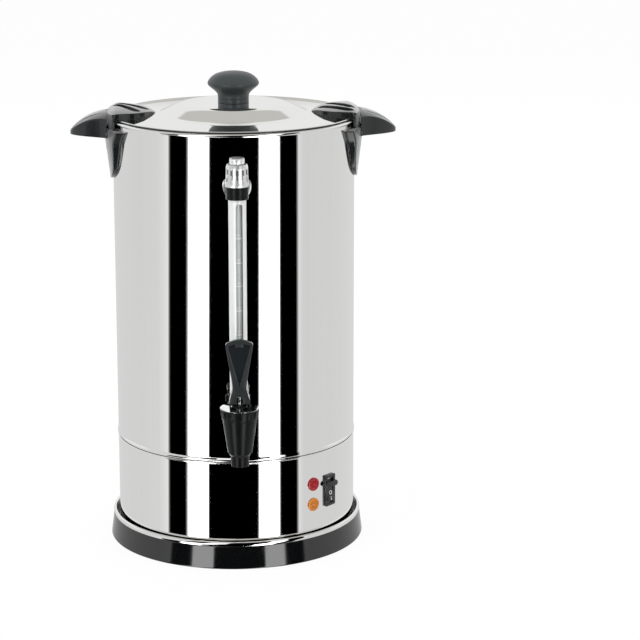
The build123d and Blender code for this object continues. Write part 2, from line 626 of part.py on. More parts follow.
def switch_housing():
    """Switch frame and body, bedded on the skirt, with the rocker's window and pivot holes."""
    frame = block((-SWITCH_WIDTH / 2, -SWITCH_FACE_Y, SWITCH_Z - SWITCH_HEIGHT / 2),
                  (SWITCH_WIDTH / 2, -TANK_RADIUS * 0.95, SWITCH_Z + SWITCH_HEIGHT / 2))
    frame = fillet(frame.edges().filter_by(Axis.Y), 1.5)
    frame -= Cylinder(TANK_RADIUS + SEAT, 4 * SWITCH_Z)
    body = block((-SWITCH_BODY_WIDTH / 2, -SWITCH_FACE_Y + 2, SWITCH_Z - SWITCH_BODY_HEIGHT / 2),
                 (SWITCH_BODY_WIDTH / 2, -TANK_RADIUS + SWITCH_BODY_DEPTH, SWITCH_Z + SWITCH_BODY_HEIGHT / 2))
    window = block((-WINDOW_WIDTH / 2, -SWITCH_FACE_Y - 1, SWITCH_Z - WINDOW_HEIGHT / 2),
                   (WINDOW_WIDTH / 2, -SWITCH_FACE_Y + WINDOW_DEPTH, SWITCH_Z + WINDOW_HEIGHT / 2))
    reach = ROCKER_PIN_LENGTH / 2 + SEAT
    pivot = rod(ROCKER_PIN_RADIUS + RUNNING, (-reach, -PIVOT_Y, SWITCH_Z), (reach, -PIVOT_Y, SWITCH_Z))
    housing = frame + body - window - pivot
    for x in (-3.5, 3.5):
        housing += block((x - 0.4, -TANK_RADIUS + SWITCH_BODY_DEPTH, SWITCH_Z - 3),
                         (x + 0.4, -TANK_RADIUS + SWITCH_BODY_DEPTH + 8, SWITCH_Z + 3))
    return at_azimuth(housing, SWITCH_AZIMUTH)


def switch_rocker():
    """Rocker with a wide thumb bar, stored with its upper end pressed in."""
    half_w = WINDOW_WIDTH / 2 - GAP
    front = -SWITCH_FACE_Y + ROCKER_FRONT_DEPTH
    rocker = block((-half_w, front, SWITCH_Z - ROCKER_HEIGHT / 2), (half_w, -PIVOT_Y + 2.5, SWITCH_Z + ROCKER_HEIGHT / 2))
    bar_z = SWITCH_Z + THUMB_BAR_RISE
    neck = block((-half_w, -SWITCH_FACE_Y - THUMB_BAR_PROUD, bar_z - THUMB_BAR_HEIGHT / 2),
                 (half_w, front + 1, bar_z + THUMB_BAR_HEIGHT / 2))
    bar = block((-THUMB_BAR_WIDTH / 2, -SWITCH_FACE_Y - THUMB_BAR_PROUD, bar_z - THUMB_BAR_HEIGHT / 2),
                (THUMB_BAR_WIDTH / 2, -SWITCH_FACE_Y - THUMB_BAR_PROUD + THUMB_BAR_THICKNESS, bar_z + THUMB_BAR_HEIGHT / 2))
    bar = chamfer(bar.edges().filter_by(Axis.Y), THUMB_BAR_HEIGHT * 0.33)
    tilted = Rot(-ROCKER_SWING / 2, 0, 0) * (Pos(0, PIVOT_Y, -SWITCH_Z) * (rocker + neck + bar))
    shaft = rod(ROCKER_PIN_RADIUS, (-ROCKER_PIN_LENGTH / 2, 0, 0), (ROCKER_PIN_LENGTH / 2, 0, 0))
    return at_azimuth(Pos(0, -PIVOT_Y, SWITCH_Z) * (tilted + shaft), SWITCH_AZIMUTH)


# ---- lid ----

LID_FLANGE_EDGE = LID_EDGE_RADIUS - LID_EDGE_BEAD * 2
LID_EDGE_Z = RIM_CENTRE_Z + math.sqrt((RIM_BEAD + LID_EDGE_BEAD + GAP) ** 2 - (RIM_CENTRE_RADIUS - LID_EDGE_RADIUS) ** 2)


def lid_slope(drop):
    """Turned half outline of the lid's upper face, lowered by drop, from the axis out to its edge."""
    corners = ((0, 0, LID_CROWN_Z - drop), (LID_CROWN_RADIUS, 0, LID_CROWN_Z - drop),
               (LID_CREASE_RADIUS, 0, LID_CREASE_Z - drop), (LID_FLANGE_EDGE, 0, LID_FLANGE_EDGE_Z - drop))
    return FilletPolyline(*corners, radius=(LID_CROWN_BEND, LID_CREASE_BEND))


def lid_solid(top_drop, low_z):
    """Everything below the lid's upper face lowered by top_drop, down to low_z."""
    top = lid_slope(top_drop)
    start, end = top @ 0, top @ 1
    rest = Polyline(end, (end.X, 0, low_z), (0, 0, low_z), start)
    return revolve(make_face(top + rest), Axis.Z)


def lid_shell():
    """Spun steel lid: crown, flange, rolled edge and a skirt that centres it in the tank."""
    low = LID_FLANGE_EDGE_Z - 10
    shell = lid_solid(0, low) - lid_solid(LID_THICKNESS, low)
    shell += Pos(0, 0, LID_EDGE_Z) * Torus(LID_EDGE_RADIUS, LID_EDGE_BEAD)
    shell += turned((LID_FLANGE_EDGE - 1, LID_FLANGE_EDGE_Z), (LID_EDGE_RADIUS, LID_EDGE_Z + LID_EDGE_BEAD * 0.7),
                    (LID_EDGE_RADIUS, LID_EDGE_Z - LID_EDGE_BEAD * 0.3),
                    (LID_FLANGE_EDGE - 1, LID_FLANGE_EDGE_Z - LID_THICKNESS))
    skirt = TANK_INNER - LID_SKIRT_CLEARANCE
    shell += turned((skirt - LID_THICKNESS, LID_FLANGE_EDGE_Z - LID_SKIRT_DEPTH), (skirt, LID_FLANGE_EDGE_Z - LID_SKIRT_DEPTH),
                    (skirt, LID_EDGE_Z), (skirt - LID_THICKNESS, LID_FLANGE_EDGE_Z))
    shell -= rod(KNOB_SCREW_RADIUS + SEAT, (0, 0, LID_CROWN_Z - 5), (0, 0, LID_CROWN_Z + 5))
    for x, y in lug_screw_places():
        shell -= rod(LUG_SCREW_RADIUS + SEAT, (x, y, LID_FLANGE_EDGE_Z - 5), (x, y, LID_CREASE_Z + 2))
    return shell


KNOB_Z = LID_CROWN_Z + SEAT


def lid_knob():
    """Mushroom knob with a waisted neck and a blind hole for its screw."""
    top = KNOB_Z + KNOB_HEIGHT
    belly = KNOB_Z + KNOB_BELLY
    neck_top = KNOB_Z + KNOB_NECK_HEIGHT
    base = Line((0, 0, KNOB_Z), (KNOB_NECK_RADIUS, 0, KNOB_Z))
    neck = Line(base @ 1, (KNOB_NECK_RADIUS, 0, neck_top))
    under = Spline(neck @ 1, (KNOB_RADIUS, 0, belly), tangents=((0.25, 0, 1), (0, 0, 1)))
    dome = Spline(under @ 1, (0, 0, top), tangents=((0, 0, 1), (-1, 0, 0)))
    axis = Line(dome @ 1, base @ 0)
    knob = revolve(make_face(base + neck + under + dome + axis), Axis.Z)
    return knob - rod(KNOB_SCREW_RADIUS + SEAT, (0, 0, KNOB_Z - 1), (0, 0, KNOB_Z + KNOB_SCREW_LENGTH - 2))


def knob_washer():
    """Silicone washer between the knob screw's head and the lid."""
    top = LID_CROWN_Z - LID_THICKNESS - SEAT
    return tube(KNOB_WASHER_RADIUS, KNOB_SCREW_RADIUS + SEAT, (0, 0, top - KNOB_WASHER_THICKNESS), (0, 0, top))


def knob_screw():
    """Screw from under the lid into the knob."""
    seat = LID_CROWN_Z - LID_THICKNESS - 2 * SEAT - KNOB_WASHER_THICKNESS
    return screw((0, 0, seat), (0, 0, seat + KNOB_SCREW_LENGTH), KNOB_SCREW_RADIUS, KNOB_SCREW_RADIUS * 2, 3.0)


# ---- lid lugs ----

TONGUE_LOW_Z = HOOK_BOTTOM_Z


def lug_screw_places():
    """Places of the screws that hold both lugs to the lid."""
    places = []
    for side in (-1, 1):
        for spread in (-LUG_SCREW_SPREAD, LUG_SCREW_SPREAD):
            places.append((side * math.sqrt(LUG_SCREW_CIRCLE ** 2 - spread ** 2), spread))
    return places


def lug_bed():
    """Space under a lug: the lid with its rolled edge and the tank's rim."""
    low = PAD_BOTTOM_Z
    edge_top = LID_EDGE_Z + LID_EDGE_BEAD + SEAT
    bed = lid_solid(-SEAT, low)
    return bed + turned((0, low), (0, LID_FLANGE_EDGE_Z), (LID_FLANGE_EDGE - 2, LID_FLANGE_EDGE_Z + SEAT),
                        (LID_FLANGE_EDGE, edge_top), (LID_EDGE_RADIUS + LID_EDGE_BEAD + SEAT, edge_top),
                        (RIM_CLEAR_RADIUS, LID_EDGE_Z), (RIM_CLEAR_RADIUS, low))


def lug_plan():
    """Crescent outline of a lug seen from above, on the +X side."""
    shoulder = (LID_FLANGE_EDGE - 4) * 0.965
    shoulder_x = math.sqrt(shoulder ** 2 - LUG_HALF_WIDTH ** 2)
    hook_x = math.sqrt(SEAM_RADIUS ** 2 - HOOK_HALF_WIDTH ** 2)
    tip = (LUG_TIP_RADIUS, 0)
    inner = Spline((shoulder_x, -LUG_HALF_WIDTH), tip, (shoulder_x, LUG_HALF_WIDTH))
    outer = RadiusArc((hook_x, -HOOK_HALF_WIDTH), (hook_x, HOOK_HALF_WIDTH), -SEAM_RADIUS)
    sides = Line((shoulder_x, LUG_HALF_WIDTH), (hook_x, HOOK_HALF_WIDTH)) + Line(
        (hook_x, -HOOK_HALF_WIDTH), (shoulder_x, -LUG_HALF_WIDTH))
    return make_face(inner + outer + sides)


def lid_lug():
    """Lid lug on the +X side: a crowned crescent with two grip slots, a hook over the rim and a locking tongue."""
    low = HOOK_BOTTOM_Z
    lug = Pos(0, 0, low) * extrude(lug_plan(), LUG_TOP_Z - low)
    shoulder_z = LUG_TOP_Z - LUG_SHOULDER_DROP
    beyond = LUG_HALF_WIDTH + 2
    across = Spline((0, -beyond, LUG_SIDE_Z), (0, -LUG_SHOULDER, shoulder_z), (0, 0, LUG_TOP_Z),
                    (0, LUG_SHOULDER, shoulder_z), (0, beyond, LUG_SIDE_Z))
    sides = Polyline(across @ 1, (0, beyond, low), (0, -beyond, low), across @ 0)
    lug &= extrude(make_face(across + sides), 2 * SEAM_RADIUS, dir=(1, 0, 0))
    start, end = LUG_TIP_RADIUS - 1, SEAM_RADIUS + 1
    along = Spline((start, 0, LUG_TIP_Z), (LUG_TOP_RADIUS, 0, LUG_TOP_Z), (end, 0, LUG_SEAM_Z))
    sides = Polyline(along @ 1, (end, 0, low), (start, 0, low), along @ 0)
    lug &= extrude(make_face(along + sides), beyond, both=True, dir=(0, 1, 0))
    lug -= lug_bed()
    for length, side in zip(GRIP_SLOT_LENGTHS, (-1, 1)):
        far = LUG_TOP_RADIUS
        slot = SlotCenterToCenter(length - GRIP_SLOT_WIDTH, GRIP_SLOT_WIDTH)
        place = Pos(far - length / 2, side * GRIP_SLOT_OFFSET, LUG_TOP_Z - GRIP_SLOT_DEPTH)
        lug -= place * extrude(slot, 10)
    for x, y in lug_screw_places():
        lug -= rod(LUG_SCREW_RADIUS + SEAT, (x, y, LID_FLANGE_EDGE_Z - 5), (x, y, LUG_TOP_Z - 5))
    reach = SEAM_RADIUS + TONGUE_REACH
    tongue = make_face(Polyline((SEAM_RADIUS - 1.5, 0, TONGUE_LOW_Z), (reach, 0, TONGUE_LOW_Z),
                                (reach, 0, TONGUE_LOW_Z + TONGUE_THICKNESS),
                                (SEAM_RADIUS - 1.5, 0, TONGUE_LOW_Z + TONGUE_THICKNESS), close=True))
    return lug + Rot(0, 0, -TONGUE_ANGLE) * revolve(tongue, Axis.Z, 2 * TONGUE_ANGLE)


def lug_screws():
    """Screws from under the lid into the lugs."""
    screws = []
    share = (LUG_SCREW_CIRCLE - LID_CREASE_RADIUS) / (LID_FLANGE_EDGE - LID_CREASE_RADIUS)
    flange_z = LID_CREASE_Z + (LID_FLANGE_EDGE_Z - LID_CREASE_Z) * share
    seat = flange_z - LID_THICKNESS - 3 * SEAT
    for x, y in lug_screw_places():
        screws.append(screw((x, y, seat), (x, y, LUG_TOP_Z - 6), LUG_SCREW_RADIUS, LUG_SCREW_RADIUS * 2, 2.0))
    return group(screws)


# ---- side handles ----

PAD_INNER = TANK_RADIUS + SEAT
GROOVE_RADIUS = SEAM_RADIUS + TONGUE_REACH + 2 * GAP


def handle_pad():
    """Saddle that hugs the tank below the rim, shield-shaped and tapering downwards."""
    top = PAD_TOP_Z
    outline = ((PAD_INNER, PAD_BOTTOM_Z - 1), (PAD_INNER + PAD_THICK_BOTTOM, PAD_BOTTOM_Z - 1),
               (PAD_INNER + PAD_THICK_TOP, WING_UNDERSIDE_Z), (PAD_INNER + PAD_THICK_TOP, top), (PAD_INNER, top))
    band = make_face(Polyline(*[(r, 0, z) for r, z in outline], close=True))
    band = Rot(0, 0, -35) * revolve(band, Axis.Z, 70)
    height = top - PAD_BOTTOM_Z
    half = PAD_HALF_WIDTH
    edge = Spline((0, -half * 1.06, top), (0, -half * 0.93, PAD_BOTTOM_Z + height * 0.56),
                  (0, -half * 0.77, PAD_BOTTOM_Z + height * 0.25), (0, 0, PAD_BOTTOM_Z),
                  (0, half * 0.77, PAD_BOTTOM_Z + height * 0.25), (0, half * 0.93, PAD_BOTTOM_Z + height * 0.56),
                  (0, half * 1.06, top))
    shield = make_face(edge + Line(edge @ 1, edge @ 0))
    return band & extrude(shield, 2 * SEAM_RADIUS, dir=(1, 0, 0))


def handle_wing():
    """Wing to lift by: leaf-shaped from above, flat underneath, with a barrel-shaped top that falls to its tip."""
    root = HANDLE_FACE - 2
    reach = HANDLE_TIP_RADIUS - HANDLE_FACE
    half = HANDLE_ROOT_HALF_WIDTH
    leaf = Spline((root, -half), (HANDLE_FACE + reach * 0.4, -half * 0.68), (HANDLE_FACE + reach * 0.66, -half * 0.5),
                  (HANDLE_TIP_RADIUS, 0), (HANDLE_FACE + reach * 0.66, half * 0.5),
                  (HANDLE_FACE + reach * 0.4, half * 0.68), (root, half))
    plan = make_face(leaf + Line(leaf @ 1, leaf @ 0))
    wing = Pos(0, 0, WING_UNDERSIDE_Z) * extrude(plan, HANDLE_TOP_Z - WING_UNDERSIDE_Z)
    centre_z = HANDLE_TOP_Z - HANDLE_TOP_ARC
    stave = HANDLE_TOP_ARC - (half + 2) ** 2 / (2 * HANDLE_CROWN)
    crown = ThreePointArc((HANDLE_ARC_CENTRE, -half - 2, centre_z + stave), (HANDLE_ARC_CENTRE, 0, HANDLE_TOP_Z),
                          (HANDLE_ARC_CENTRE, half + 2, centre_z + stave))
    sides = Polyline(crown @ 1, (HANDLE_ARC_CENTRE, half + 2, centre_z), (HANDLE_ARC_CENTRE, -half - 2, centre_z), crown @ 0)
    barrel = revolve(make_face(crown + sides), Axis((HANDLE_ARC_CENTRE, 0, centre_z), (0, 1, 0)))
    return wing & barrel


def side_handle():
    """Handle on the +X side: saddle and wing, with the groove that takes the lid's tongue."""
    handle = handle_pad() + handle_wing()
    handle -= Cylinder(PAD_INNER, 4 * RIM_TOP_Z)
    handle -= turned((0, PAD_TOP_Z), (HANDLE_FACE, PAD_TOP_Z), (HANDLE_FACE, 2 * RIM_TOP_Z), (0, 2 * RIM_TOP_Z))
    groove_low = TONGUE_LOW_Z - 2 * GAP
    groove_high = TONGUE_LOW_Z + TONGUE_THICKNESS + 2 * GAP
    handle -= turned((0, groove_low), (GROOVE_RADIUS, groove_low), (GROOVE_RADIUS, groove_high), (0, groove_high))
    for spread in (-HANDLE_SCREW_SPREAD, HANDLE_SCREW_SPREAD):
        handle -= rod(HANDLE_SCREW_RADIUS + SEAT, (0, spread, HANDLE_SCREW_Z),
                      (PAD_INNER + PAD_THICK_TOP * 0.55, spread, HANDLE_SCREW_Z))
    return handle


def handle_screws():
    """Screws from inside the tank into both handles, each with its head on a washer."""
    screws = []
    for side in (-1, 1):
        for spread in (-HANDLE_SCREW_SPREAD, HANDLE_SCREW_SPREAD):
            seat = washer_face(spread) - HANDLE_WASHER_THICKNESS - SEAT
            screws.append(screw((side * seat, spread, HANDLE_SCREW_Z),
                                (side * (PAD_INNER + PAD_THICK_TOP * 0.5 - 1), spread, HANDLE_SCREW_Z),
                                HANDLE_SCREW_RADIUS, HANDLE_SCREW_RADIUS * 2, 2.4))
    return group(screws)


HANDLE_WASHER_RADIUS = 5.5
HANDLE_WASHER_THICKNESS = 1.5


def washer_face(spread):
    """Distance from the middle plane at which a flat washer clears the tank's curved inner face."""
    return math.sqrt((TANK_INNER - SEAT) ** 2 - (abs(spread) + HANDLE_WASHER_RADIUS) ** 2)


def handle_washers():
    """Silicone washers that seal the handle screws inside the tank, bedded on the curved wall."""
    washers = []
    for side in (-1, 1):
        for spread in (-HANDLE_SCREW_SPREAD, HANDLE_SCREW_SPREAD):
            inner = washer_face(spread) - HANDLE_WASHER_THICKNESS
            washer = tube(HANDLE_WASHER_RADIUS, HANDLE_SCREW_RADIUS + SEAT, (side * inner, spread, HANDLE_SCREW_Z),
                          (side * TANK_RADIUS, spread, HANDLE_SCREW_Z))
            washers.append(washer & Pos(0, 0, HANDLE_SCREW_Z) * Cylinder(TANK_INNER - SEAT, 4 * HANDLE_WASHER_RADIUS))
    return group(washers)


# ---- sight gauge ----

COLLAR_MID_Z = (COLLAR_BOTTOM_Z + COLLAR_TOP_Z) / 2
SADDLE_SCREW_RADIUS = 2.0
SOCKET_TOP_Z = GUARD_BOTTOM_Z - SEAT


def on_gauge(piece):
    """Moves a piece turned about Z onto the gauge's axis."""
    return Pos(0, -GAUGE_Y, 0) * piece


def gauge_glass():
    """Glass tube that shows the water level."""
    return on_gauge(tube(GLASS_RADIUS, GLASS_BORE, (0, 0, GLASS_BOTTOM_Z), (0, 0, GLASS_TOP_Z)))


def gauge_guard():
    """Polished tube round the glass, slotted at the front so that the level can be read."""
    top = COLLAR_BOTTOM_Z - SEAT
    guard = tube(GUARD_RADIUS, GUARD_RADIUS - GUARD_WALL, (0, 0, GUARD_BOTTOM_Z), (0, 0, top))
    low = GUARD_BOTTOM_Z + GUARD_SLOT_MARGIN + GUARD_SLOT / 2
    high = top - GUARD_SLOT_MARGIN - GUARD_SLOT / 2
    slot = block((-GUARD_SLOT / 2, -GUARD_RADIUS - 1, low), (GUARD_SLOT / 2, 0, high))
    for z in (low, high):
        slot += rod(GUARD_SLOT / 2, (0, 0, z), (0, -GUARD_RADIUS - 1, z))
    return on_gauge(guard - slot)


def gauge_collar():
    """Black ring that joins guard, glass and cap."""
    return on_gauge(tube(COLLAR_RADIUS, GLASS_RADIUS + SEAT, (0, 0, COLLAR_BOTTOM_Z), (0, 0, COLLAR_TOP_Z))
                    - rod(SADDLE_SCREW_RADIUS + SEAT, (0, COLLAR_RADIUS + 1, COLLAR_MID_Z),
                          (0, COLLAR_RADIUS - 6, COLLAR_MID_Z)))


def gauge_saddle():
    """Chrome saddle that cups the collar from behind and beds on the tank."""
    centre = COLLAR_MID_Z + SADDLE_RISE
    top = COLLAR_TOP_Z + 3.0
    saddle = rod(SADDLE_RADIUS, (0, -TANK_RADIUS * 0.95, centre), (0, -TANK_RADIUS - SADDLE_PROUD, centre))
    saddle &= Pos(0, -TANK_RADIUS, top - SADDLE_RADIUS) * Box(4 * SADDLE_RADIUS, 4 * SADDLE_RADIUS, 2 * SADDLE_RADIUS)
    saddle -= Pos(0, 0, COLLAR_MID_Z) * Cylinder(TANK_RADIUS + SEAT, 4 * SADDLE_RADIUS)
    saddle -= on_gauge(Pos(0, 0, COLLAR_MID_Z) * Cylinder(COLLAR_RADIUS + SEAT, 4 * SADDLE_RADIUS))
    saddle -= on_gauge(Pos(0, 0, COLLAR_TOP_Z) * Cylinder(CAP_BOTTOM_RADIUS + SEAT, 2 * SADDLE_RADIUS, align=LOW))
    return saddle - rod(SADDLE_SCREW_RADIUS + SEAT, (0, 0, COLLAR_MID_Z), (0, -GAUGE_Y, COLLAR_MID_Z))


def saddle_screw():
    """Screw from inside the tank through the saddle into the collar, with a sealing washer face."""
    seat = math.sqrt((TANK_INNER - SEAT) ** 2 - (2 * SADDLE_SCREW_RADIUS) ** 2)
    return screw((0, -seat, COLLAR_MID_Z), (0, -GAUGE_Y + COLLAR_RADIUS - 5, COLLAR_MID_Z),
                 SADDLE_SCREW_RADIUS, 2 * SADDLE_SCREW_RADIUS, 2.4)


def gauge_cap():
    """Fluted chrome cap over the top of the glass."""
    low = COLLAR_TOP_Z + SEAT
    rim = low + 3.0
    cap = turned((0, low), (CAP_BOTTOM_RADIUS, low), (CAP_BOTTOM_RADIUS, rim), (CAP_TOP_RADIUS, CAP_TOP_Z - 1),
                 (CAP_TOP_RADIUS - 1, CAP_TOP_Z), (0, CAP_TOP_Z))
    cap -= rod(GLASS_RADIUS + SEAT, (0, 0, low - 1), (0, 0, GLASS_TOP_Z + SEAT))
    cap -= rod(PLUG_STEM_RADIUS + SEAT, (0, 0, low), (0, 0, CAP_TOP_Z + 1))
    for x, y in on_circle(1.0, CAP_FLUTES, math.radians(-90)):
        bottom = (x * CAP_BOTTOM_RADIUS, y * CAP_BOTTOM_RADIUS, rim + 2)
        top = (x * CAP_TOP_RADIUS, y * CAP_TOP_RADIUS, CAP_TOP_Z - 3)
        cap -= rod(CAP_FLUTE_RADIUS, bottom, top)
    return on_gauge(cap)


def vent_plug():
    """Vented plug that closes the cap and is removed to brush the glass."""
    low = CAP_TOP_Z + SEAT
    plug = turned((0, low), (PLUG_RADIUS * 0.86, low), (PLUG_RADIUS, low + PLUG_HEIGHT * 0.3),
                  (PLUG_RADIUS, low + PLUG_HEIGHT * 0.75), (PLUG_RADIUS * 0.88, low + PLUG_HEIGHT), (0, low + PLUG_HEIGHT))
    plug += rod(PLUG_STEM_RADIUS, (0, 0, GLASS_TOP_Z + 2), (0, 0, low))
    return on_gauge(plug - rod(0.8, (0, 0, GLASS_TOP_Z), (0, 0, low + PLUG_HEIGHT + 1)))


def gauge_socket():
    """Black socket that carries glass and guard on the tap's shank."""
    seat = GLASS_BOTTOM_Z - SEAT
    socket = turned((0, SOCKET_BOTTOM_Z), (SOCKET_RADIUS * 0.85, SOCKET_BOTTOM_Z), (SOCKET_RADIUS * 0.85, SOCKET_TOP_Z - 12),
                    (SOCKET_RADIUS, SOCKET_TOP_Z - 10), (SOCKET_RADIUS, SOCKET_TOP_Z - 1),
                    (SOCKET_RADIUS - 1, SOCKET_TOP_Z), (0, SOCKET_TOP_Z))
    socket -= rod(GLASS_RADIUS + SEAT, (0, 0, seat), (0, 0, SOCKET_TOP_Z + 1))
    socket -= rod(GLASS_BORE, (0, 0, SOCKET_BOTTOM_Z - 1), (0, 0, seat + 1))
    ear = block((-SOCKET_RADIUS - 2.5, -2, SOCKET_TOP_Z - 8), (-SOCKET_RADIUS + 1, 2, SOCKET_TOP_Z - 1))
    return on_gauge(socket + ear)


# ---- tap ----

PIN_Z = BONNET_TOP_Z + BONNET_BOSS_HEIGHT + PIN_RISE
LEVER_TOP_Z = PIN_Z + LEVER_LENGTH
LEVER_WAIST_Z = PIN_Z + LEVER_WAIST_RISE
CAM_HEIGHT = PIN_RISE - GAP
SPRING_TOP_Z = BONNET_TOP_Z - 3.5
SPRING_LOW_Z = VALVE_SEAT_Z + GAP + CUP_HEIGHT + 3.5


def on_tap(piece):
    """Moves a piece turned about Z onto the tap's axis."""
    return Pos(0, -TAP_Y, 0) * piece


def tap_shank():
    """Threaded shank through the tank wall, with its flange, the gauge's branch and the water way."""
    inner = -(TANK_INNER - SHANK_INNER_LENGTH)
    gasket_face = -(TANK_RADIUS + GASKET_THICKNESS)
    arm_end = -(TAP_Y - CONE_BOTTOM_RADIUS)
    shank = rod(SHANK_RADIUS, (0, inner, SHANK_Z), (0, arm_end, SHANK_Z))
    shank += rod(SHANK_FLANGE_RADIUS, (0, gasket_face, SHANK_Z), (0, gasket_face - SHANK_FLANGE_THICKNESS, SHANK_Z))
    shank += rod(SOCKET_RADIUS * 0.85, (0, -GAUGE_Y, SHANK_Z), (0, -GAUGE_Y, SOCKET_BOTTOM_Z - SEAT))
    shank -= rod(SHANK_BORE, (0, inner + 1, SHANK_Z), (0, arm_end - 1, SHANK_Z))
    return shank - rod(GLASS_BORE, (0, -GAUGE_Y, SHANK_Z), (0, -GAUGE_Y, SOCKET_BOTTOM_Z + 1))


def outer_gasket():
    """Silicone gasket between the shank's flange and the curved tank wall."""
    face = -(TANK_RADIUS + GASKET_THICKNESS - SEAT)
    gasket = tube(GASKET_RADIUS, SHANK_RADIUS + SEAT, (0, -TANK_RADIUS * 0.95, SHANK_Z), (0, face, SHANK_Z))
    return gasket - Pos(0, 0, SHANK_Z) * Cylinder(TANK_RADIUS + SEAT, 4 * GASKET_RADIUS)


def inner_gasket():
    """Silicone gasket between the tank wall and the shank nut."""
    face = -(TANK_INNER - GASKET_THICKNESS)
    gasket = tube(GASKET_RADIUS, SHANK_RADIUS + SEAT, (0, face, SHANK_Z), (0, -TANK_RADIUS, SHANK_Z))
    return gasket & Pos(0, 0, SHANK_Z) * Cylinder(TANK_INNER - SEAT, 4 * GASKET_RADIUS)


def shank_nut():
    """Hexagonal nut that draws the shank tight from inside the tank."""
    face = -(TANK_INNER - GASKET_THICKNESS) + SEAT
    corner = SHANK_NUT_ACROSS / math.sqrt(3)
    nut = extrude(RegularPolygon(corner, 6), SHANK_NUT_THICKNESS)
    place = Plane(origin=(0, face, SHANK_Z), z_dir=(0, 1, 0)).location
    return place * nut - rod(SHANK_RADIUS + SEAT, (0, face - 1, SHANK_Z), (0, face + SHANK_NUT_THICKNESS + 1, SHANK_Z))


def cone_radius(z):
    """Outer radius of the tap's cone at height z."""
    share = (z - SPOUT_TOP_Z) / (CONE_TOP_Z - SPOUT_TOP_Z)
    return CONE_BOTTOM_RADIUS + (CONE_TOP_RADIUS - CONE_BOTTOM_RADIUS) * share


def tap_body():
    """Tapered tap body with its valve seat, spout and the rear arm that takes the shank."""
    floor = VALVE_SEAT_Z
    cone = turned(
        (0, SPOUT_BOTTOM_Z), (SPOUT_RADIUS, SPOUT_BOTTOM_Z), (SPOUT_RADIUS, SPOUT_TOP_Z - 1), (CONE_BOTTOM_RADIUS, SPOUT_TOP_Z + 1),
        (CONE_TOP_RADIUS, CONE_TOP_Z), (0, CONE_TOP_Z))
    arm = rod(SHANK_RADIUS + 3, (0, 0, SHANK_Z), (0, CONE_TOP_RADIUS + 1, SHANK_Z))
    body = cone + arm
    body -= turned((0, floor), (cone_radius(floor) - CONE_WALL, floor), (CONE_TOP_RADIUS - CONE_WALL, CONE_TOP_Z),
                   (CONE_TOP_RADIUS - CONE_WALL, CONE_TOP_Z + 1), (0, CONE_TOP_Z + 1))
    body -= rod(SPOUT_BORE, (0, 0, SPOUT_BOTTOM_Z - 1), (0, 0, floor + 1))
    body -= rod(SHANK_RADIUS + SEAT, (0, CONE_BOTTOM_RADIUS - SEAT, SHANK_Z), (0, CONE_TOP_RADIUS + 2, SHANK_Z))
    body -= rod(SHANK_BORE, (0, 0, SHANK_Z), (0, CONE_BOTTOM_RADIUS, SHANK_Z))
    return on_tap(body)


def bonnet():
    """Fluted black bonnet that screws onto the body, with the boss that the lever's cam rides on."""
    low = CONE_TOP_Z + SEAT
    spigot = CONE_TOP_RADIUS - CONE_WALL - 1.8
    cap = turned(
        (STEM_RADIUS + RUNNING, SPRING_TOP_Z), (BONNET_CHAMBER, SPRING_TOP_Z), (BONNET_CHAMBER, low - 7), (spigot, low - 7),
        (spigot, low), (BONNET_BOTTOM_RADIUS, low), (BONNET_TOP_RADIUS, BONNET_TOP_Z - 1), (BONNET_TOP_RADIUS - 0.5, BONNET_TOP_Z),
        (BONNET_BOSS_RADIUS, BONNET_TOP_Z), (BONNET_BOSS_RADIUS - 0.6, BONNET_TOP_Z + BONNET_BOSS_HEIGHT),
        (STEM_RADIUS + RUNNING, BONNET_TOP_Z + BONNET_BOSS_HEIGHT))
    for x, y in on_circle(1.0, BONNET_FLUTES, math.radians(-90)):
        start = (x * (BONNET_BOTTOM_RADIUS + 0.4), y * (BONNET_BOTTOM_RADIUS + 0.4), low - 1)
        end = (x * (BONNET_TOP_RADIUS + 0.4), y * (BONNET_TOP_RADIUS + 0.4), BONNET_TOP_Z - 2.5)
        cap -= rod(1.0, start, end)
    return on_tap(cap)


def bonnet_disc():
    """Chrome disc on top of the bonnet."""
    low = BONNET_TOP_Z + SEAT
    return on_tap(tube(BONNET_TOP_RADIUS, BONNET_BOSS_RADIUS + SEAT, (0, 0, low), (0, 0, low + DISC_THICKNESS)))


def tap_stem():
    """Valve stem with its spring collar and the cross hole for the lever pin."""
    low = VALVE_SEAT_Z + GAP + 3
    stem = rod(STEM_RADIUS, (0, 0, low), (0, 0, PIN_Z + STEM_END))
    stem += rod(STEM_COLLAR_RADIUS, (0, 0, SPRING_LOW_Z - 3), (0, 0, SPRING_LOW_Z - SEAT))
    return on_tap(stem - rod(PIN_RADIUS, (-STEM_RADIUS - 1, 0, PIN_Z), (STEM_RADIUS + 1, 0, PIN_Z)))


def seat_cup():
    """Silicone cup that closes the valve seat."""
    low = VALVE_SEAT_Z + GAP
    cup = turned((0, low), (CUP_RADIUS, low), (CUP_RADIUS, low + CUP_HEIGHT * 0.4), (CUP_RADIUS * 0.6, low + CUP_HEIGHT),
                 (0, low + CUP_HEIGHT))
    return on_tap(cup - rod(STEM_RADIUS + SEAT, (0, 0, low + 3 - SEAT), (0, 0, low + CUP_HEIGHT + 1)))


def tap_spring():
    """Coil spring that holds the cup on its seat."""
    low = SPRING_LOW_Z + SPRING_WIRE
    height = SPRING_TOP_Z - SPRING_WIRE - low - SEAT
    helix = Helix(height / SPRING_TURNS, height, SPRING_RADIUS)
    wire = sweep(Plane(origin=helix @ 0, z_dir=helix % 0) * Circle(SPRING_WIRE), path=helix)
    return on_tap(Pos(0, 0, low) * wire)


def lever_pin():
    """Steel pin that joins lever and stem."""
    half = LEVER_FOOT_HALF_WIDTH - 0.5
    return on_tap(rod(PIN_RADIUS, (-half, 0, PIN_Z), (half, 0, PIN_Z)))


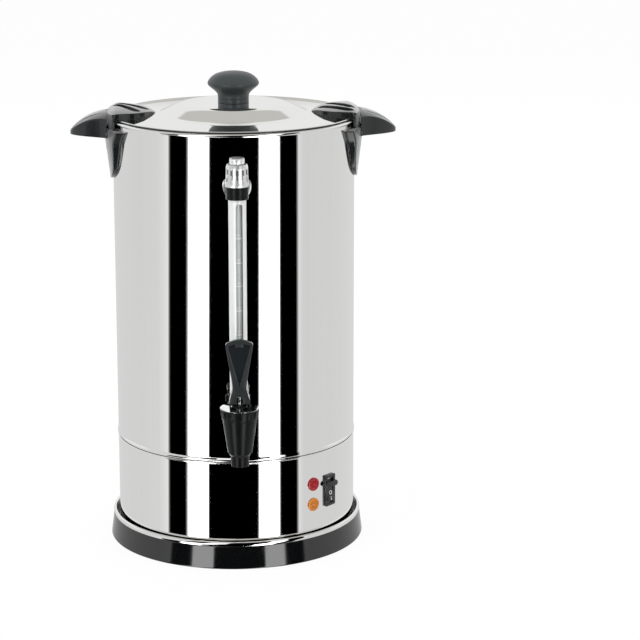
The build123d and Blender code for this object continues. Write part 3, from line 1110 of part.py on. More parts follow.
def cam_point(angle):
    """Point of the lever's cam that faces down when the lever has tilted forward by angle, from the pin."""
    reach = CAM_HEIGHT + CAM_LIFT_PER_RADIAN * angle
    along = (-math.sin(angle), -math.cos(angle))
    across = (-math.cos(angle), math.sin(angle))
    return (0, along[0] * reach + across[0] * CAM_LIFT_PER_RADIAN, along[1] * reach + across[1] * CAM_LIFT_PER_RADIAN)


def lever_side():
    """Side outline of the lever about its pin: flat heel, cam toe, and a blade that leans out slightly."""
    last = math.radians(LEVER_TILT)
    cam = Spline(*[cam_point(last * i / 4) for i in range(5)])
    heel = LEVER_THICKNESS / 2
    top = LEVER_TOP_Z - PIN_Z
    waist = LEVER_WAIST_Z - PIN_Z
    back = Polyline(cam @ 0, (0, heel, -CAM_HEIGHT), (0, heel, waist), (0, heel - 1.5, top), (0, -heel + 1.0, top),
                    (0, -heel, waist), cam @ 1)
    return make_face(cam + back)


def tap_lever():
    """Paddle lever with a recessed front panel and forked cam feet astride the stem."""
    foot_low = PIN_Z - PIN_RISE
    shoulder = LEVER_TOP_Z - 5
    half = LEVER_TOP_HALF_WIDTH
    crown = ThreePointArc((-half, 0, shoulder), (0, 0, LEVER_TOP_Z), (half, 0, shoulder))
    side = Polyline(crown @ 1, (LEVER_WAIST_HALF_WIDTH, 0, LEVER_WAIST_Z), (LEVER_FOOT_HALF_WIDTH, 0, PIN_Z - 2),
                    (LEVER_FOOT_HALF_WIDTH, 0, foot_low), (-LEVER_FOOT_HALF_WIDTH, 0, foot_low),
                    (-LEVER_FOOT_HALF_WIDTH, 0, PIN_Z - 2), (-LEVER_WAIST_HALF_WIDTH, 0, LEVER_WAIST_Z), crown @ 0)
    front = extrude(make_face(crown + side), 2 * LEVER_THICKNESS, both=True, dir=(0, 1, 0))
    profile = Pos(0, 0, PIN_Z) * extrude(lever_side(), 2 * half, both=True, dir=(1, 0, 0))
    lever = front & profile
    border = LEVER_BORDER
    panel = make_face(Polyline((-half + border + 0.5, 0, shoulder - border), (0, 0, LEVER_TOP_Z - border - 1.5),
                               (half - border - 0.5, 0, shoulder - border), (0, 0, LEVER_WAIST_Z + 1), close=True))
    depth = -LEVER_THICKNESS / 2 + LEVER_RECESS
    lever -= extrude(Pos(0, depth - 5, 0) * panel, 5, dir=(0, 1, 0))
    slot = STEM_RADIUS + GAP
    slot_top = PIN_Z + math.hypot(STEM_RADIUS, STEM_END) + GAP
    lever -= block((-slot, -4 * LEVER_THICKNESS, foot_low - 1), (slot, 4 * LEVER_THICKNESS, slot_top))
    lever -= rod(PIN_RADIUS + RUNNING, (-half, 0, PIN_Z), (half, 0, PIN_Z))
    return on_tap(lever)


def urn_pieces():
    """Every node of the urn by name."""
    handle = side_handle()
    lug = lid_lug()
    return {
        "base_ring": base_ring(),
        "base_trim_ring": base_trim_ring(),
        "base_plate": base_plate(),
        "rubber_feet": rubber_feet(),
        "foot_screws": foot_screws(),
        "plate_screws": plate_screws(),
        "lower_housing": lower_housing(),
        "tank_shell": tank_shell(),
        "tank_floor": tank_floor(),
        "heat_plate": heat_plate(),
        "heating_element": heating_element(),
        "thermostat": disc_thermostat(DISC_STAT_OFFSET),
        "boil_dry_cutout": disc_thermostat(-DISC_STAT_OFFSET),
        "terminal_block": terminal_block(),
        "power_inlet": power_inlet(),
        "inlet_pins": inlet_pins(),
        "inlet_screws": inlet_screws(),
        "red_lamp_lens": lamp_lens(RED_LAMP_Z),
        "amber_lamp_lens": lamp_lens(AMBER_LAMP_Z),
        "lamp_holders": lamp_holders(),
        "switch_housing": switch_housing(),
        "switch_rocker": switch_rocker(),
        "lid_shell": lid_shell(),
        "lid_knob": lid_knob(),
        "knob_washer": knob_washer(),
        "knob_screw": knob_screw(),
        "right_lid_lug": lug,
        "left_lid_lug": opposite(lug),
        "lug_screws": lug_screws(),
        "right_handle": handle,
        "left_handle": opposite(handle),
        "handle_screws": handle_screws(),
        "handle_washers": handle_washers(),
        "gauge_glass": gauge_glass(),
        "gauge_guard": gauge_guard(),
        "gauge_collar": gauge_collar(),
        "gauge_saddle": gauge_saddle(),
        "saddle_screw": saddle_screw(),
        "gauge_cap": gauge_cap(),
        "gauge_vent_plug": vent_plug(),
        "gauge_socket": gauge_socket(),
        "tap_shank": tap_shank(),
        "outer_gasket": outer_gasket(),
        "inner_gasket": inner_gasket(),
        "shank_nut": shank_nut(),
        "tap_body": tap_body(),
        "tap_bonnet": bonnet(),
        "bonnet_disc": bonnet_disc(),
        "tap_stem": tap_stem(),
        "seat_cup": seat_cup(),
        "tap_spring": tap_spring(),
        "lever_pin": lever_pin(),
        "tap_lever": tap_lever(),
    }


os.makedirs("parts", exist_ok=True)
for name, piece in urn_pieces().items():
    export_step(piece, f"parts/{name}.step")
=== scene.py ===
"""Looks of the hot water urn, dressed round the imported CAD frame.

Lengths are millimetres until MM turns them to metres. +Z is up, the tap faces -Y, and azimuths are degrees
from the front, towards +X.
"""

import json
import logging
import math
from contextlib import contextmanager
from dataclasses import dataclass
from enum import Enum
from typing import Any, Callable, Iterator, Sequence

import bmesh
import bpy
from mathutils import Matrix, Vector


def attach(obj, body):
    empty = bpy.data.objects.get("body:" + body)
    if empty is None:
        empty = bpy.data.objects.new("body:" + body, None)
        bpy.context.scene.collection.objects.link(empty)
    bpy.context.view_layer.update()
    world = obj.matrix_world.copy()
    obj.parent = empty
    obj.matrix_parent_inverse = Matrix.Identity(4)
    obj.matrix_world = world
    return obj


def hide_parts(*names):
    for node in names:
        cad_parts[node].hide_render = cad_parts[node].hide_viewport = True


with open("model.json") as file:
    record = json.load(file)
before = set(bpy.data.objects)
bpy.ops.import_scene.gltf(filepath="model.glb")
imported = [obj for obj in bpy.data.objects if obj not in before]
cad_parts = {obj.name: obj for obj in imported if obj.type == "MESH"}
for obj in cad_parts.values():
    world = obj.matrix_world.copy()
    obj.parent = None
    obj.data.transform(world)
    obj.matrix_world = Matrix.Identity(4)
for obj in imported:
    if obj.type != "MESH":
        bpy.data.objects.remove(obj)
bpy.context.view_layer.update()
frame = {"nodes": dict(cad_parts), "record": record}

MM = 0.001
FULL_TURN = 2 * math.pi
Outline = Sequence[Sequence[float]]
Object = bpy.types.Object
Material = bpy.types.Material
Socket = bpy.types.NodeSocket
UPRIGHT = Matrix.Rotation(math.radians(90), 4, "X")
HALF_TURN = Matrix.Rotation(math.pi, 4, "Z")
Plan = tuple[float, float]
WHITE = (1.0, 1.0, 1.0, 1.0)
log = logging.getLogger("urn")


# ---- colour and nodes ----


def linear(code: str) -> tuple[float, float, float, float]:
    """Turns an sRGB hex colour to linear values.

    Args:
        code: six hex digits after a hash sign.

    Returns:
        Red, green, blue and an alpha of 1.
    """
    values = [int(code[i:i + 2], 16) / 255 for i in (1, 3, 5)]
    light = [v / 12.92 if v <= 0.04045 else ((v + 0.055) / 1.055) ** 2.4 for v in values]
    return (light[0], light[1], light[2], 1.0)


class Nodes:
    """A node tree in the making."""

    def __init__(self, owner: Material | bpy.types.World) -> None:
        """Starts on an emptied tree.

        Args:
            owner: the material or world whose tree it is.
        """
        owner.use_nodes = True
        self.tree = owner.node_tree
        self.tree.nodes.clear()

    def add(self, kind: str, settings: dict[str, Any] | None = None,
            inputs: dict[Any, Any] | None = None) -> bpy.types.Node:
        """Adds a node with its settings, and sets or links its inputs.

        Args:
            kind: the node's type name after ShaderNode.
            settings: attributes to set on the node.
            inputs: socket name or number to a value, or to another node's output socket.

        Returns:
            The new node.
        """
        new = self.tree.nodes.new("ShaderNode" + kind)
        for name, value in (settings or {}).items():
            setattr(new, name, value)
        for name, value in (inputs or {}).items():
            if isinstance(value, Socket):
                self.tree.links.new(value, new.inputs[name])
            else:
                new.inputs[name].default_value = value
        return new

    def maths(self, operation: str, *values: Any) -> Socket:
        """Adds a maths node that applies an operation to values or sockets and gives its result."""
        return self.add("Math", {"operation": operation}, dict(enumerate(values))).outputs[0]

    def blend(self, share: Any, first: Any, second: Any) -> Socket:
        """Adds a mix of two colours and gives its result."""
        return self.add("Mix", {"data_type": "RGBA"}, {0: share, 6: first, 7: second}).outputs[2]

    def scaled(self, vector: Any, scale: Socket) -> Socket:
        """Adds a product of a colour and a factor and gives its result."""
        return self.add("VectorMath", {"operation": "SCALE"}, {0: vector, "Scale": scale}).outputs[0]

    def remap(self, value: Socket, start: float, end: float, low: float = 0.0, high: float = 1.0,
              kind: str = "LINEAR") -> Socket:
        """Adds a map from one range of values to another and gives its result."""
        return self.add("MapRange", {"interpolation_type": kind}, {
            "Value": value, "From Min": start, "From Max": end, "To Min": low, "To Max": high}).outputs[0]

    def seen_directly(self) -> Socket:
        """Adds a test that is 1 for rays from the camera or through glass."""
        ray = self.add("LightPath").outputs
        return self.maths("MAXIMUM", ray["Is Camera Ray"], ray["Is Transmission Ray"])


# ---- finishes ----


@dataclass(frozen=True)
class Finish:
    """What a surface is made of and how it was made.

    Attributes:
        name: the material and its process.
        colour: sRGB hex.
        metallic: 1 for bare metal.
        roughness: microscopic roughness.
        grain: spacing of the surface's texture in mm, along X, Y and Z.
        depth: how deep that texture is, in mm.
        mottle: how far the roughness wanders over the surface.
        tint: share by which the colour wanders.
        ior: index of refraction, or None for a metal.
        transmission: share of light that passes through.
        sheen: weight of the haze that a satin surface shows at grazing angles.
    """

    name: str
    colour: str
    metallic: float = 0.0
    roughness: float = 0.5
    grain: tuple[float, float, float] = (1.0, 1.0, 1.0)
    depth: float = 0.0
    mottle: float = 0.0
    tint: float = 0.0
    ior: float | None = None
    transmission: float = 0.0
    sheen: float = 0.0

    def build(self) -> Material:
        """Makes the node material.

        Returns:
            The material, made anew.
        """
        material = bpy.data.materials.new(self.name)
        nodes = Nodes(material)
        link = nodes.tree.links.new
        shader = nodes.add("BsdfPrincipled", inputs={
            "Base Color": linear(self.colour), "Metallic": self.metallic, "Roughness": self.roughness,
            "Transmission Weight": self.transmission, "Sheen Weight": self.sheen, "Sheen Roughness": 0.3})
        if self.ior is not None:
            shader.inputs["IOR"].default_value = self.ior
        nodes.add("OutputMaterial", inputs={"Surface": shader.outputs[0]})
        place = nodes.add("TexCoord").outputs["Object"]
        spread = nodes.add("Mapping", inputs={
            "Vector": place, "Scale": tuple(1 / (g * MM) for g in self.grain)}).outputs[0]
        fine = nodes.add("TexNoise", inputs={"Vector": spread, "Scale": 1.0, "Detail": 3.0}).outputs["Fac"]
        broad = nodes.add("TexNoise", inputs={"Vector": place, "Scale": 22.0, "Detail": 2.0}).outputs["Fac"]
        if self.mottle:
            least, most = max(self.roughness - self.mottle, 0.0), self.roughness + self.mottle
            link(nodes.remap(broad, 0.3, 0.7, least, most), shader.inputs["Roughness"])
        if self.tint:
            shade = nodes.remap(fine, 0.25, 0.75, 1 - self.tint, 1 + self.tint)
            link(nodes.scaled(linear(self.colour)[:3], shade), shader.inputs["Base Color"])
        if self.depth:
            relief = nodes.add("Bump", inputs={"Strength": 1.0, "Distance": self.depth * MM, "Height": fine})
            link(relief.outputs[0], shader.inputs["Normal"])
        return material


class Slots(Enum):
    """The record's material slots with the finish of each."""

    # Cold-rolled 304 sheet, buffed: a mirror with faint upright polishing lines, drawn 5 mm apart so that they show.
    polished_steel = Finish("Stainless steel, mirror buffed", "#fafaf9", 1.0, 0.035, (7.0, 7.0, 400.0), 0.0002, 0.008,
                            0.012)
    # Guard tube: bead-blasted steel that scatters the studio into an even pale grey.
    blasted_steel = Finish("Stainless tube, bead blasted", "#e2e4e3", 0.2, 0.4, (0.8, 0.8, 0.8), 0.004, 0.04, 0.02, 1.5)
    # Mill-finish sheet: dull grey with drawn lines.
    pressed_steel = Finish("Stainless steel, mill rolled", "#b4b5b4", 1.0, 0.36, (0.8, 25.0, 25.0), 0.002, 0.05, 0.03)
    # Nickel and chrome plate on zinc castings: bright, slightly soft because castings are never flat.
    chrome_plate = Finish("Zinc casting, satin chrome plated", "#f6f7f7", 1.0, 0.36, (3.0, 3.0, 3.0), 0.004, 0.04)
    # Turned and tumbled screws and pins.
    fastener_steel = Finish("Steel, turned and zinc plated", "#c9cac8", 1.0, 0.26, (0.5, 0.5, 0.12), 0.002, 0.05)
    aluminium = Finish("Aluminium, die cast", "#c4c6c8", 1.0, 0.42, (1.2, 1.2, 1.2), 0.01, 0.06, 0.04)
    # Element sheath: oxidised by heat.
    element_sheath = Finish("Stainless sheath, heat oxidised", "#6d6560", 1.0, 0.44, (2.0, 2.0, 2.0), 0.01, 0.08, 0.12)
    # Enamelled skirt: deep black under a hard gloss, with the faint wave of a moulded surface.
    base_black = Finish("Phenolic resin, gloss moulded", "#0c0d0e", 0.0, 0.07, (9.0, 9.0, 9.0), 0.003, 0.02, 0.0, 1.72)
    # Grips: polished mould, so black with soft-edged highlights and a grey haze where seen flat.
    grip_plastic = Finish("Bakelite, gloss moulded", "#15191a", 0.0, 0.17, (4.0, 4.0, 4.0), 0.003, 0.03, 0.04, 1.55,
                          sheen=0.8)
    tap_black = Finish("Nylon, gloss moulded", "#0c0e0f", 0.0, 0.3, (1.5, 1.5, 1.5), 0.003, 0.04, 0.05, 1.26)
    lever_black = Finish("Nylon, semi-gloss moulded", "#262b2c", 0.0, 0.3, (0.6, 0.6, 0.6), 0.005, 0.05, 0.06, 1.53)
    rubber = Finish("Rubber, moulded", "#1b1b1b", 0.0, 0.75, (0.8, 0.8, 0.8), 0.02, 0.06, 0.08, 1.5)
    silicone = Finish("Silicone, moulded", "#d2d0c8", 0.0, 0.5, (1.0, 1.0, 1.0), 0.01, 0.05, 0.03, 1.41)
    # Gauge glass: drawn tube, milky from limescale inside.
    sight_glass = Finish("Borosilicate glass, drawn", "#e3e7e6", 0.0, 0.1, (30.0, 30.0, 300.0), 0.002,
                         ior=1.47, transmission=0.2)
    # Lens caps: translucent acrylic, ribbed, so the colour is deep with a lighter middle.
    red_lens = Finish("Acrylic, red moulded", "#b0242c", 0.0, 0.12, (1.6, 1.6, 1.6), 0.01, 0.03, 0.14, 1.49, 0.15)
    amber_lens = Finish("Acrylic, amber moulded", "#d98a38", 0.0, 0.12, (1.6, 1.6, 1.6), 0.01, 0.03, 0.14, 1.49, 0.15)
    lamp_body = Finish("Nylon, natural moulded", "#cfcabd", 0.0, 0.5, (1.0, 1.0, 1.0), 0.01, 0.05, 0.03, 1.53)
    switch_black = Finish("ABS, satin moulded", "#1d1e20", 0.0, 0.33, (0.6, 0.6, 0.6), 0.008, 0.05, 0.06, 1.54)
    contact_brass = Finish("Brass, stamped", "#d9b36a", 1.0, 0.25, (0.4, 6.0, 0.4), 0.003, 0.05, 0.04)


@dataclass(frozen=True)
class Extras:
    """Finishes that no CAD node carries."""

    # Lid knob: spark-eroded mould, whose grain, drawn at 0.7 mm so that it shows, greys the black.
    knob: Finish = Finish(
        "Bakelite, satin moulded", "#3a4041", 0.0, 0.36, (0.7, 0.7, 0.7), 0.006, 0.05, 0.04, 1.5)
    # Sunk panels: the same moulding where the tool was polished, so glossier, with a darker colour that is painted
    # shade in the recess.
    panel: Finish = Finish(
        "Nylon, polished in the mould, painted recess shade", "#1d2123", 0.0, 0.2, (2.0, 2.0, 2.0), 0.002, 0.03, 0.04, 1.45)
    # Cap's slots: a darker grey plate, painted shade that stands for the depth of the cuts.
    slot_plate: Finish = Finish(
        "Chrome plate, painted shade in the slots", "#83878a", 1.0, 0.35, (2.0, 2.0, 2.0), 0.002, 0.03, 0.04)
    # Flanks of the lid's rolled edge: dull dark steel, painted shade for the shadow line in the gap between lid and
    # rim.
    rolled_flank: Finish = Finish(
        "Stainless steel, rolled edge with painted gap shade", "#4c5152", 1.0, 0.4, (7.0, 7.0, 400.0), 0.0002, 0.01, 0.02)
    # Bonnet disc: plated pressing, smooth enough to mirror in sharp patches.
    bright_plate: Finish = Finish(
        "Steel pressing, bright chrome plated", "#f4f5f5", 1.0, 0.08, (4.0, 4.0, 4.0), 0.001, 0.02)
    # Screen ink: flat white lines and figures.
    white_ink: Finish = Finish(
        "Enamel ink, screen printed", "#f6f6f4", 0.0, 0.55, (0.5, 0.5, 0.5), 0.002, 0.05, 0.02, 1.5)
    pale_ink: Finish = Finish(
        "Enamel ink, thin printed", "#eceeee", 0.0, 0.55, (0.5, 0.5, 0.5), 0.002, 0.05, 0.05, 1.5)


EXTRAS = Extras()


class Paint:
    """Keeps one built material per finish."""

    def __init__(self) -> None:
        """Starts with none built."""
        self.built: dict[str, Material] = {}

    def of(self, finish: Finish) -> Material:
        """Gives the material of a finish, built once.

        Args:
            finish: the finish.

        Returns:
            Its material.
        """
        if finish.name not in self.built:
            self.built[finish.name] = finish.build()
        return self.built[finish.name]

    def coat(self, piece: Object, finish: Finish) -> None:
        """Gives a piece one finish all over."""
        piece.data.materials.clear()
        piece.data.materials.append(self.of(finish))


PAINT = Paint()


# ---- modelling bench ----


class Bench:
    """Shop methods that shape meshes with Blender's own operators."""

    @staticmethod
    def lay_down() -> None:
        """Leaves object mode with nothing selected."""
        if bpy.context.object and bpy.context.object.mode != "OBJECT":
            bpy.ops.object.mode_set(mode="OBJECT")
        bpy.ops.object.select_all(action="DESELECT")

    @staticmethod
    def hold(piece: Object) -> None:
        """Selects one piece alone and makes it active.

        Args:
            piece: the piece.
        """
        Bench.lay_down()
        piece.hide_set(False)
        piece.select_set(True)
        bpy.context.view_layer.objects.active = piece

    @staticmethod
    @contextmanager
    def editing(piece: Object) -> Iterator[None]:
        """Holds one piece in edit mode.

        Args:
            piece: the piece.

        Yields:
            Nothing, once in edit mode.
        """
        Bench.hold(piece)
        bpy.ops.object.mode_set(mode="EDIT")
        try:
            yield
        finally:
            bpy.ops.object.mode_set(mode="OBJECT")

    @staticmethod
    def pick(piece: Object, kind: str, test: Callable[[Any], bool]) -> None:
        """Selects what passes a test, in edit mode.

        Args:
            piece: the piece in edit mode.
            kind: VERT, EDGE or FACE.
            test: takes a bmesh vertex, edge or face.
        """
        bpy.ops.mesh.select_mode(type=kind)
        bpy.ops.mesh.select_all(action="DESELECT")
        form = bmesh.from_edit_mesh(piece.data)
        items = {"VERT": form.verts, "EDGE": form.edges, "FACE": form.faces}[kind]
        for item in [item for item in items if test(item)]:
            item.select_set(True)
        form.select_flush_mode()
        bmesh.update_edit_mesh(piece.data)

    @staticmethod
    def settle(piece: Object, matrix: Matrix | None = None) -> None:
        """Moves a piece and leaves its object at the origin, with its place in its mesh.

        Args:
            piece: the piece.
            matrix: where it goes from here, or None to leave it.
        """
        if matrix is not None:
            piece.matrix_world = matrix @ piece.matrix_world
        Bench.hold(piece)
        bpy.ops.object.transform_apply(location=True, rotation=True, scale=True)

    @staticmethod
    def finish_with(piece: Object, kind: str, **settings: Any) -> None:
        """Adds one modifier and applies it.

        Args:
            piece: the piece.
            kind: the modifier's type.
            **settings: the modifier's settings.
        """
        Bench.hold(piece)
        modifier = piece.modifiers.new(kind.title(), kind)
        for name, value in settings.items():
            setattr(modifier, name, value)
        bpy.ops.object.modifier_apply(modifier=modifier.name)

    @staticmethod
    def smooth(piece: Object, degrees: float = 32.0) -> None:
        """Shades a piece smooth up to this edge angle."""
        Bench.hold(piece)
        bpy.ops.object.shade_smooth_by_angle(angle=math.radians(degrees))

    @staticmethod
    def weld(piece: Object, reach: float = 0.002, outward: bool = True) -> None:
        """Merges doubles and turns faces outward.

        Args:
            piece: the piece.
            reach: greatest distance of doubles in mm.
            outward: whether the faces are turned.
        """
        with Bench.editing(piece):
            bpy.ops.mesh.select_mode(type="VERT")
            Bench.take_all()
            bpy.ops.mesh.remove_doubles(threshold=reach * MM)
            if outward:
                bpy.ops.mesh.normals_make_consistent(inside=False)

    @staticmethod
    def join(name: str, pieces: Sequence[Object]) -> Object:
        """Joins pieces to one.

        Args:
            name: the joined piece's name.
            pieces: the pieces, the first of which takes the rest.

        Returns:
            The joined piece.
        """
        Bench.hold(pieces[0])
        for other in pieces[1:]:
            other.select_set(True)
        bpy.ops.object.join()
        pieces[0].name = name
        return pieces[0]

    @staticmethod
    def eased(outline: Outline, closed: bool, hold: float = 0.5) -> list[tuple[float, float]]:
        """Rounds the corners of an outline and adds a holding point beside each, so that long runs stay true.

        Args:
            outline: (radius, height) or (radius, height, corner radius) points.
            closed: whether the last point joins the first.
            hold: distance of the holding points from the corners' ends, in mm.

        Returns:
            The points of the eased outline.
        """
        points = [Vector((p[0], p[1])) for p in outline]
        radii = [p[2] if len(p) > 2 else 0.0 for p in outline]
        count = len(points)
        eased: list[Vector] = []
        for i, point in enumerate(points):
            if radii[i] <= 0 or (not closed and i in (0, count - 1)):
                eased.append(point)
                continue
            back, ahead = points[i - 1] - point, points[(i + 1) % count] - point
            turn = math.pi - back.angle(ahead)
            reach = min(radii[i] * math.tan(turn / 2), 0.49 * back.length, 0.49 * ahead.length)
            radius = reach / math.tan(turn / 2)
            back_way, ahead_way = back.normalized(), ahead.normalized()
            start, end = point + back_way * reach, point + ahead_way * reach
            centre = point + (back_way + ahead_way).normalized() * math.hypot(radius, reach)
            steps = max(2, math.ceil(math.degrees(turn) / 13))
            if back.length - reach > 4 * hold:
                eased.append(start + back_way * hold)
            for k in range(steps + 1):
                chord = start.lerp(end, k / steps) - centre
                spread = math.sin(turn * k / steps), math.sin(turn * (1 - k / steps))
                arc = ((start - centre) * spread[1] + (end - centre) * spread[0]) / math.sin(turn) \
                    if math.sin(turn) > 1e-6 else chord
                eased.append(centre + arc)
            if ahead.length - reach > 4 * hold:
                eased.append(end + ahead_way * hold)
        return [(p.x, p.y) for p in eased]

    @staticmethod
    def turn(name: str, outline: Outline, axis: tuple[float, float] = (0.0, 0.0), steps: int = 96,
             closed: bool = False, sweep: float = 360.0, start: float = 0.0, degrees: float = 32.0) -> Object:
        """Turns an outline about a vertical axis, as on a lathe: a point is drawn out along it and then spun.

        Args:
            name: the piece's name.
            outline: (radius, height) points in mm, each with an optional corner radius.
            axis: x and y of the axis in mm.
            steps: facets round the sweep.
            closed: whether the outline is a closed section.
            sweep: degrees turned.
            start: degrees from the front (-Y), towards +X, at which a partial sweep begins.
            degrees: smooth shading up to this edge angle.

        Returns:
            The turned piece.
        """
        line = Bench.eased(outline, closed)
        Bench.lay_down()
        bpy.ops.mesh.primitive_plane_add(size=MM, location=(line[0][0] * MM, 0.0, line[0][1] * MM))
        piece = bpy.context.object
        piece.name = name
        Bench.settle(piece)
        with Bench.editing(piece):
            bpy.ops.mesh.select_mode(type="VERT")
            Bench.take_all()
            bpy.ops.mesh.merge(type="CENTER")
            for (r0, z0), (r1, z1) in zip(line, line[1:]):
                bpy.ops.mesh.extrude_vertices_move(
                    TRANSFORM_OT_translate={"value": ((r1 - r0) * MM, 0.0, (z1 - z0) * MM)})
            if closed:
                ends = [Vector((r, 0.0, z)) * MM for r, z in (line[0], line[-1])]
                Bench.pick(piece, "VERT", lambda v: min((v.co - e).length for e in ends) < 0.01 * MM)
                bpy.ops.mesh.edge_face_add()
            Bench.take_all()
            bpy.ops.mesh.spin(steps=steps, angle=-math.radians(sweep), center=(0.0, 0.0, 0.0), axis=(0.0, 0.0, 1.0))
            Bench.take_all()
            bpy.ops.mesh.remove_doubles(threshold=0.002 * MM)
            if sweep < 360 and closed:
                Bench.take_all()
                bpy.ops.mesh.fill_holes(sides=0)
            Bench.take_all()
            bpy.ops.mesh.normals_make_consistent(inside=False)
        Bench.settle(piece, shift(*axis, 0.0) @ round_to(start - 90))
        Bench.smooth(piece, degrees)
        return piece

    @staticmethod
    def grid(name: str, columns: int, rows: int, rule: Callable[[int, int], tuple[float, float, float]]) -> Object:
        """Lays a grid and places its points by a rule, as a lofted sheet.

        Args:
            name: the piece's name.
            columns: points across.
            rows: points along.
            rule: column and row number to a point in mm.

        Returns:
            The sheet, open at its border.
        """
        Bench.lay_down()
        bpy.ops.mesh.primitive_grid_add(x_subdivisions=columns - 1, y_subdivisions=rows - 1, size=1.0)
        piece = bpy.context.object
        piece.name = name
        for vertex in piece.data.vertices:
            i = round((vertex.co.x + 0.5) * (columns - 1))
            j = round((vertex.co.y + 0.5) * (rows - 1))
            vertex.co = Vector(rule(i, j)) * MM
        return piece

    @staticmethod
    def block(name: str, centre: Sequence[float], size: Sequence[float]) -> Object:
        """Adds a box to be shaped further.

        Args:
            name: the piece's name.
            centre: its middle in mm.
            size: its edges in mm.

        Returns:
            The box.
        """
        Bench.lay_down()
        bpy.ops.mesh.primitive_cube_add(size=MM, location=[c * MM for c in centre])
        piece = bpy.context.object
        piece.name = name
        piece.scale = size
        Bench.settle(piece)
        return piece

    @staticmethod
    def rod(name: str, start: Sequence[float], end: Sequence[float], radius: float) -> Object:
        """Adds a round bar to be shaped further.

        Args:
            name: the piece's name.
            start: middle of one end in mm.
            end: middle of the other end in mm.
            radius: its radius in mm.

        Returns:
            The bar.
        """
        Bench.lay_down()
        run = (Vector(end) - Vector(start)) * MM
        bpy.ops.mesh.primitive_cylinder_add(vertices=64, radius=radius * MM, depth=run.length)
        piece = bpy.context.object
        piece.name = name
        Bench.settle(piece, Matrix.Translation((Vector(start) + Vector(end)) / 2 * MM)
                     @ run.to_track_quat("Z", "Y").to_matrix().to_4x4())
        return piece

    @staticmethod
    def cut(piece: Object, tool: Object) -> None:
        """Cuts one piece with another, which is used up."""
        Bench.finish_with(piece, "BOOLEAN", object=tool, operation="DIFFERENCE", solver="EXACT")
        bpy.data.objects.remove(tool)

    @staticmethod
    def from_cad(name: str, cad_node: str) -> Object:
        """Copies a CAD node's surface as the blank for a detailed piece.

        Args:
            name: the new piece's name.
            cad_node: the node.

        Returns:
            The merged copy.
        """
        piece = bpy.data.objects.new(name, frame["nodes"][cad_node].data.copy())
        bpy.context.scene.collection.objects.link(piece)
        Bench.weld(piece, 0.01, outward=False)
        return piece

    @staticmethod
    def relieved(name: str, cad_node: str, width: float) -> Object:
        """A copy of a CAD node with its edges broken by a small radius.

        Args:
            name: the new piece's name.
            cad_node: the node.
            width: the edge radius in mm.

        Returns:
            The piece.
        """
        piece = Bench.from_cad(name, cad_node)
        with Bench.editing(piece):
            Bench.take_all()
            bpy.ops.mesh.dissolve_limited(angle_limit=math.radians(1.0))
        Bench.round_edges(piece, width, 3, 28)
        Bench.smooth(piece, 34)
        return piece

    @staticmethod
    def round_edges(piece: Object, width: float, segments: int, degrees: float) -> None:
        """Rounds the edges sharper than this angle by a width in mm."""
        Bench.finish_with(piece, "BEVEL", width=width * MM, segments=segments, limit_method="ANGLE",
                          angle_limit=math.radians(degrees))

    @staticmethod
    def draw_out(x: float, y: float, z: float) -> None:
        """Extrudes what is selected by distances in mm, in edit mode."""
        bpy.ops.mesh.extrude_region_move(TRANSFORM_OT_translate={"value": (x * MM, y * MM, z * MM)})

    @staticmethod
    def take_all() -> None:
        """Selects everything, in edit mode."""
        bpy.ops.mesh.select_all(action="SELECT")

    @staticmethod
    def flute(piece: Object, axis: Sequence[float], count: int, half: float, span: Sequence[float], least: float,
              share: float) -> None:
        """Sinks upright slots into the side of a turned piece.

        Args:
            piece: the piece.
            axis: x and y of its axis in mm.
            count: how many slots.
            half: half a slot's width, in radians.
            span: heights between which they run.
            least: radius beyond which the surface sinks.
            share: share of the radius that is left in a slot.
        """
        pitch = FULL_TURN / count

        def in_flute(vertex: Any) -> bool:
            """Tells whether a vertex lies in one of the slots.

            Args:
                vertex: the bmesh vertex.

            Returns:
                True in a slot.
            """
            x, y = vertex.co.x - axis[0] * MM, vertex.co.y - axis[1] * MM
            off = (math.atan2(y, x) + math.pi / 2 + pitch / 2) % pitch - pitch / 2
            return abs(off) < half and span[0] < vertex.co.z / MM < span[1] and math.hypot(x, y) > least * MM

        with Bench.editing(piece):
            Bench.pick(piece, "VERT", in_flute)
            bpy.ops.transform.resize(value=(share, share, 1.0), center_override=(axis[0] * MM, axis[1] * MM, 0.0))

    @staticmethod
    def lettering(words: str, size: float, thickness: float) -> Object:
        """Adds raised plain characters, lying at the origin.

        Args:
            words: the characters.
            size: their type size in mm.
            thickness: how far they stand out to each side, in mm.

        Returns:
            The characters.
        """
        Bench.lay_down()
        bpy.ops.object.text_add()
        text = bpy.context.object.data
        text.body, text.align_x = words, "CENTER"
        text.size, text.extrude = size * MM, thickness * MM
        bpy.ops.object.convert(target="MESH")
        return bpy.context.object

    @staticmethod
    def soften(piece: Object, voxel: float, passes: int, keep: float) -> None:
        """Gives a piece the soft edges of a moulding, remeshed and eased all over.

        Args:
            piece: the piece, whose overlapping parts become one.
            voxel: remesh size in mm.
            passes: smoothing passes, which set how soft the edges are.
            keep: share of the faces kept.
        """
        Bench.finish_with(piece, "REMESH", mode="VOXEL", voxel_size=voxel * MM, use_smooth_shade=True)
        Bench.finish_with(piece, "SMOOTH", factor=0.5, iterations=passes)
        Bench.finish_with(piece, "DECIMATE", ratio=keep)
        Bench.smooth(piece, 60)


def hand_over(piece: Object, body: str, slot: Slots, *nodes: str, finish: Finish | None = None) -> Object:
    """Gives a finished piece its body and its finish, the slot's own unless another is given, and hides the CAD nodes
    that it stands for.

    Args:
        piece: the finished piece.
        body: the CAD body that it rides on.
        slot: the record's slot.
        *nodes: CAD nodes that it replaces.
        finish: a finish other than the slot's own.

    Returns:
        The piece.
    """
    PAINT.coat(piece, finish or slot.value)
    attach(piece, body)
    if nodes:
        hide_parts(*nodes)
    log.info("%s rides on %s, %d faces", piece.name, body, len(piece.data.polygons))
    return piece


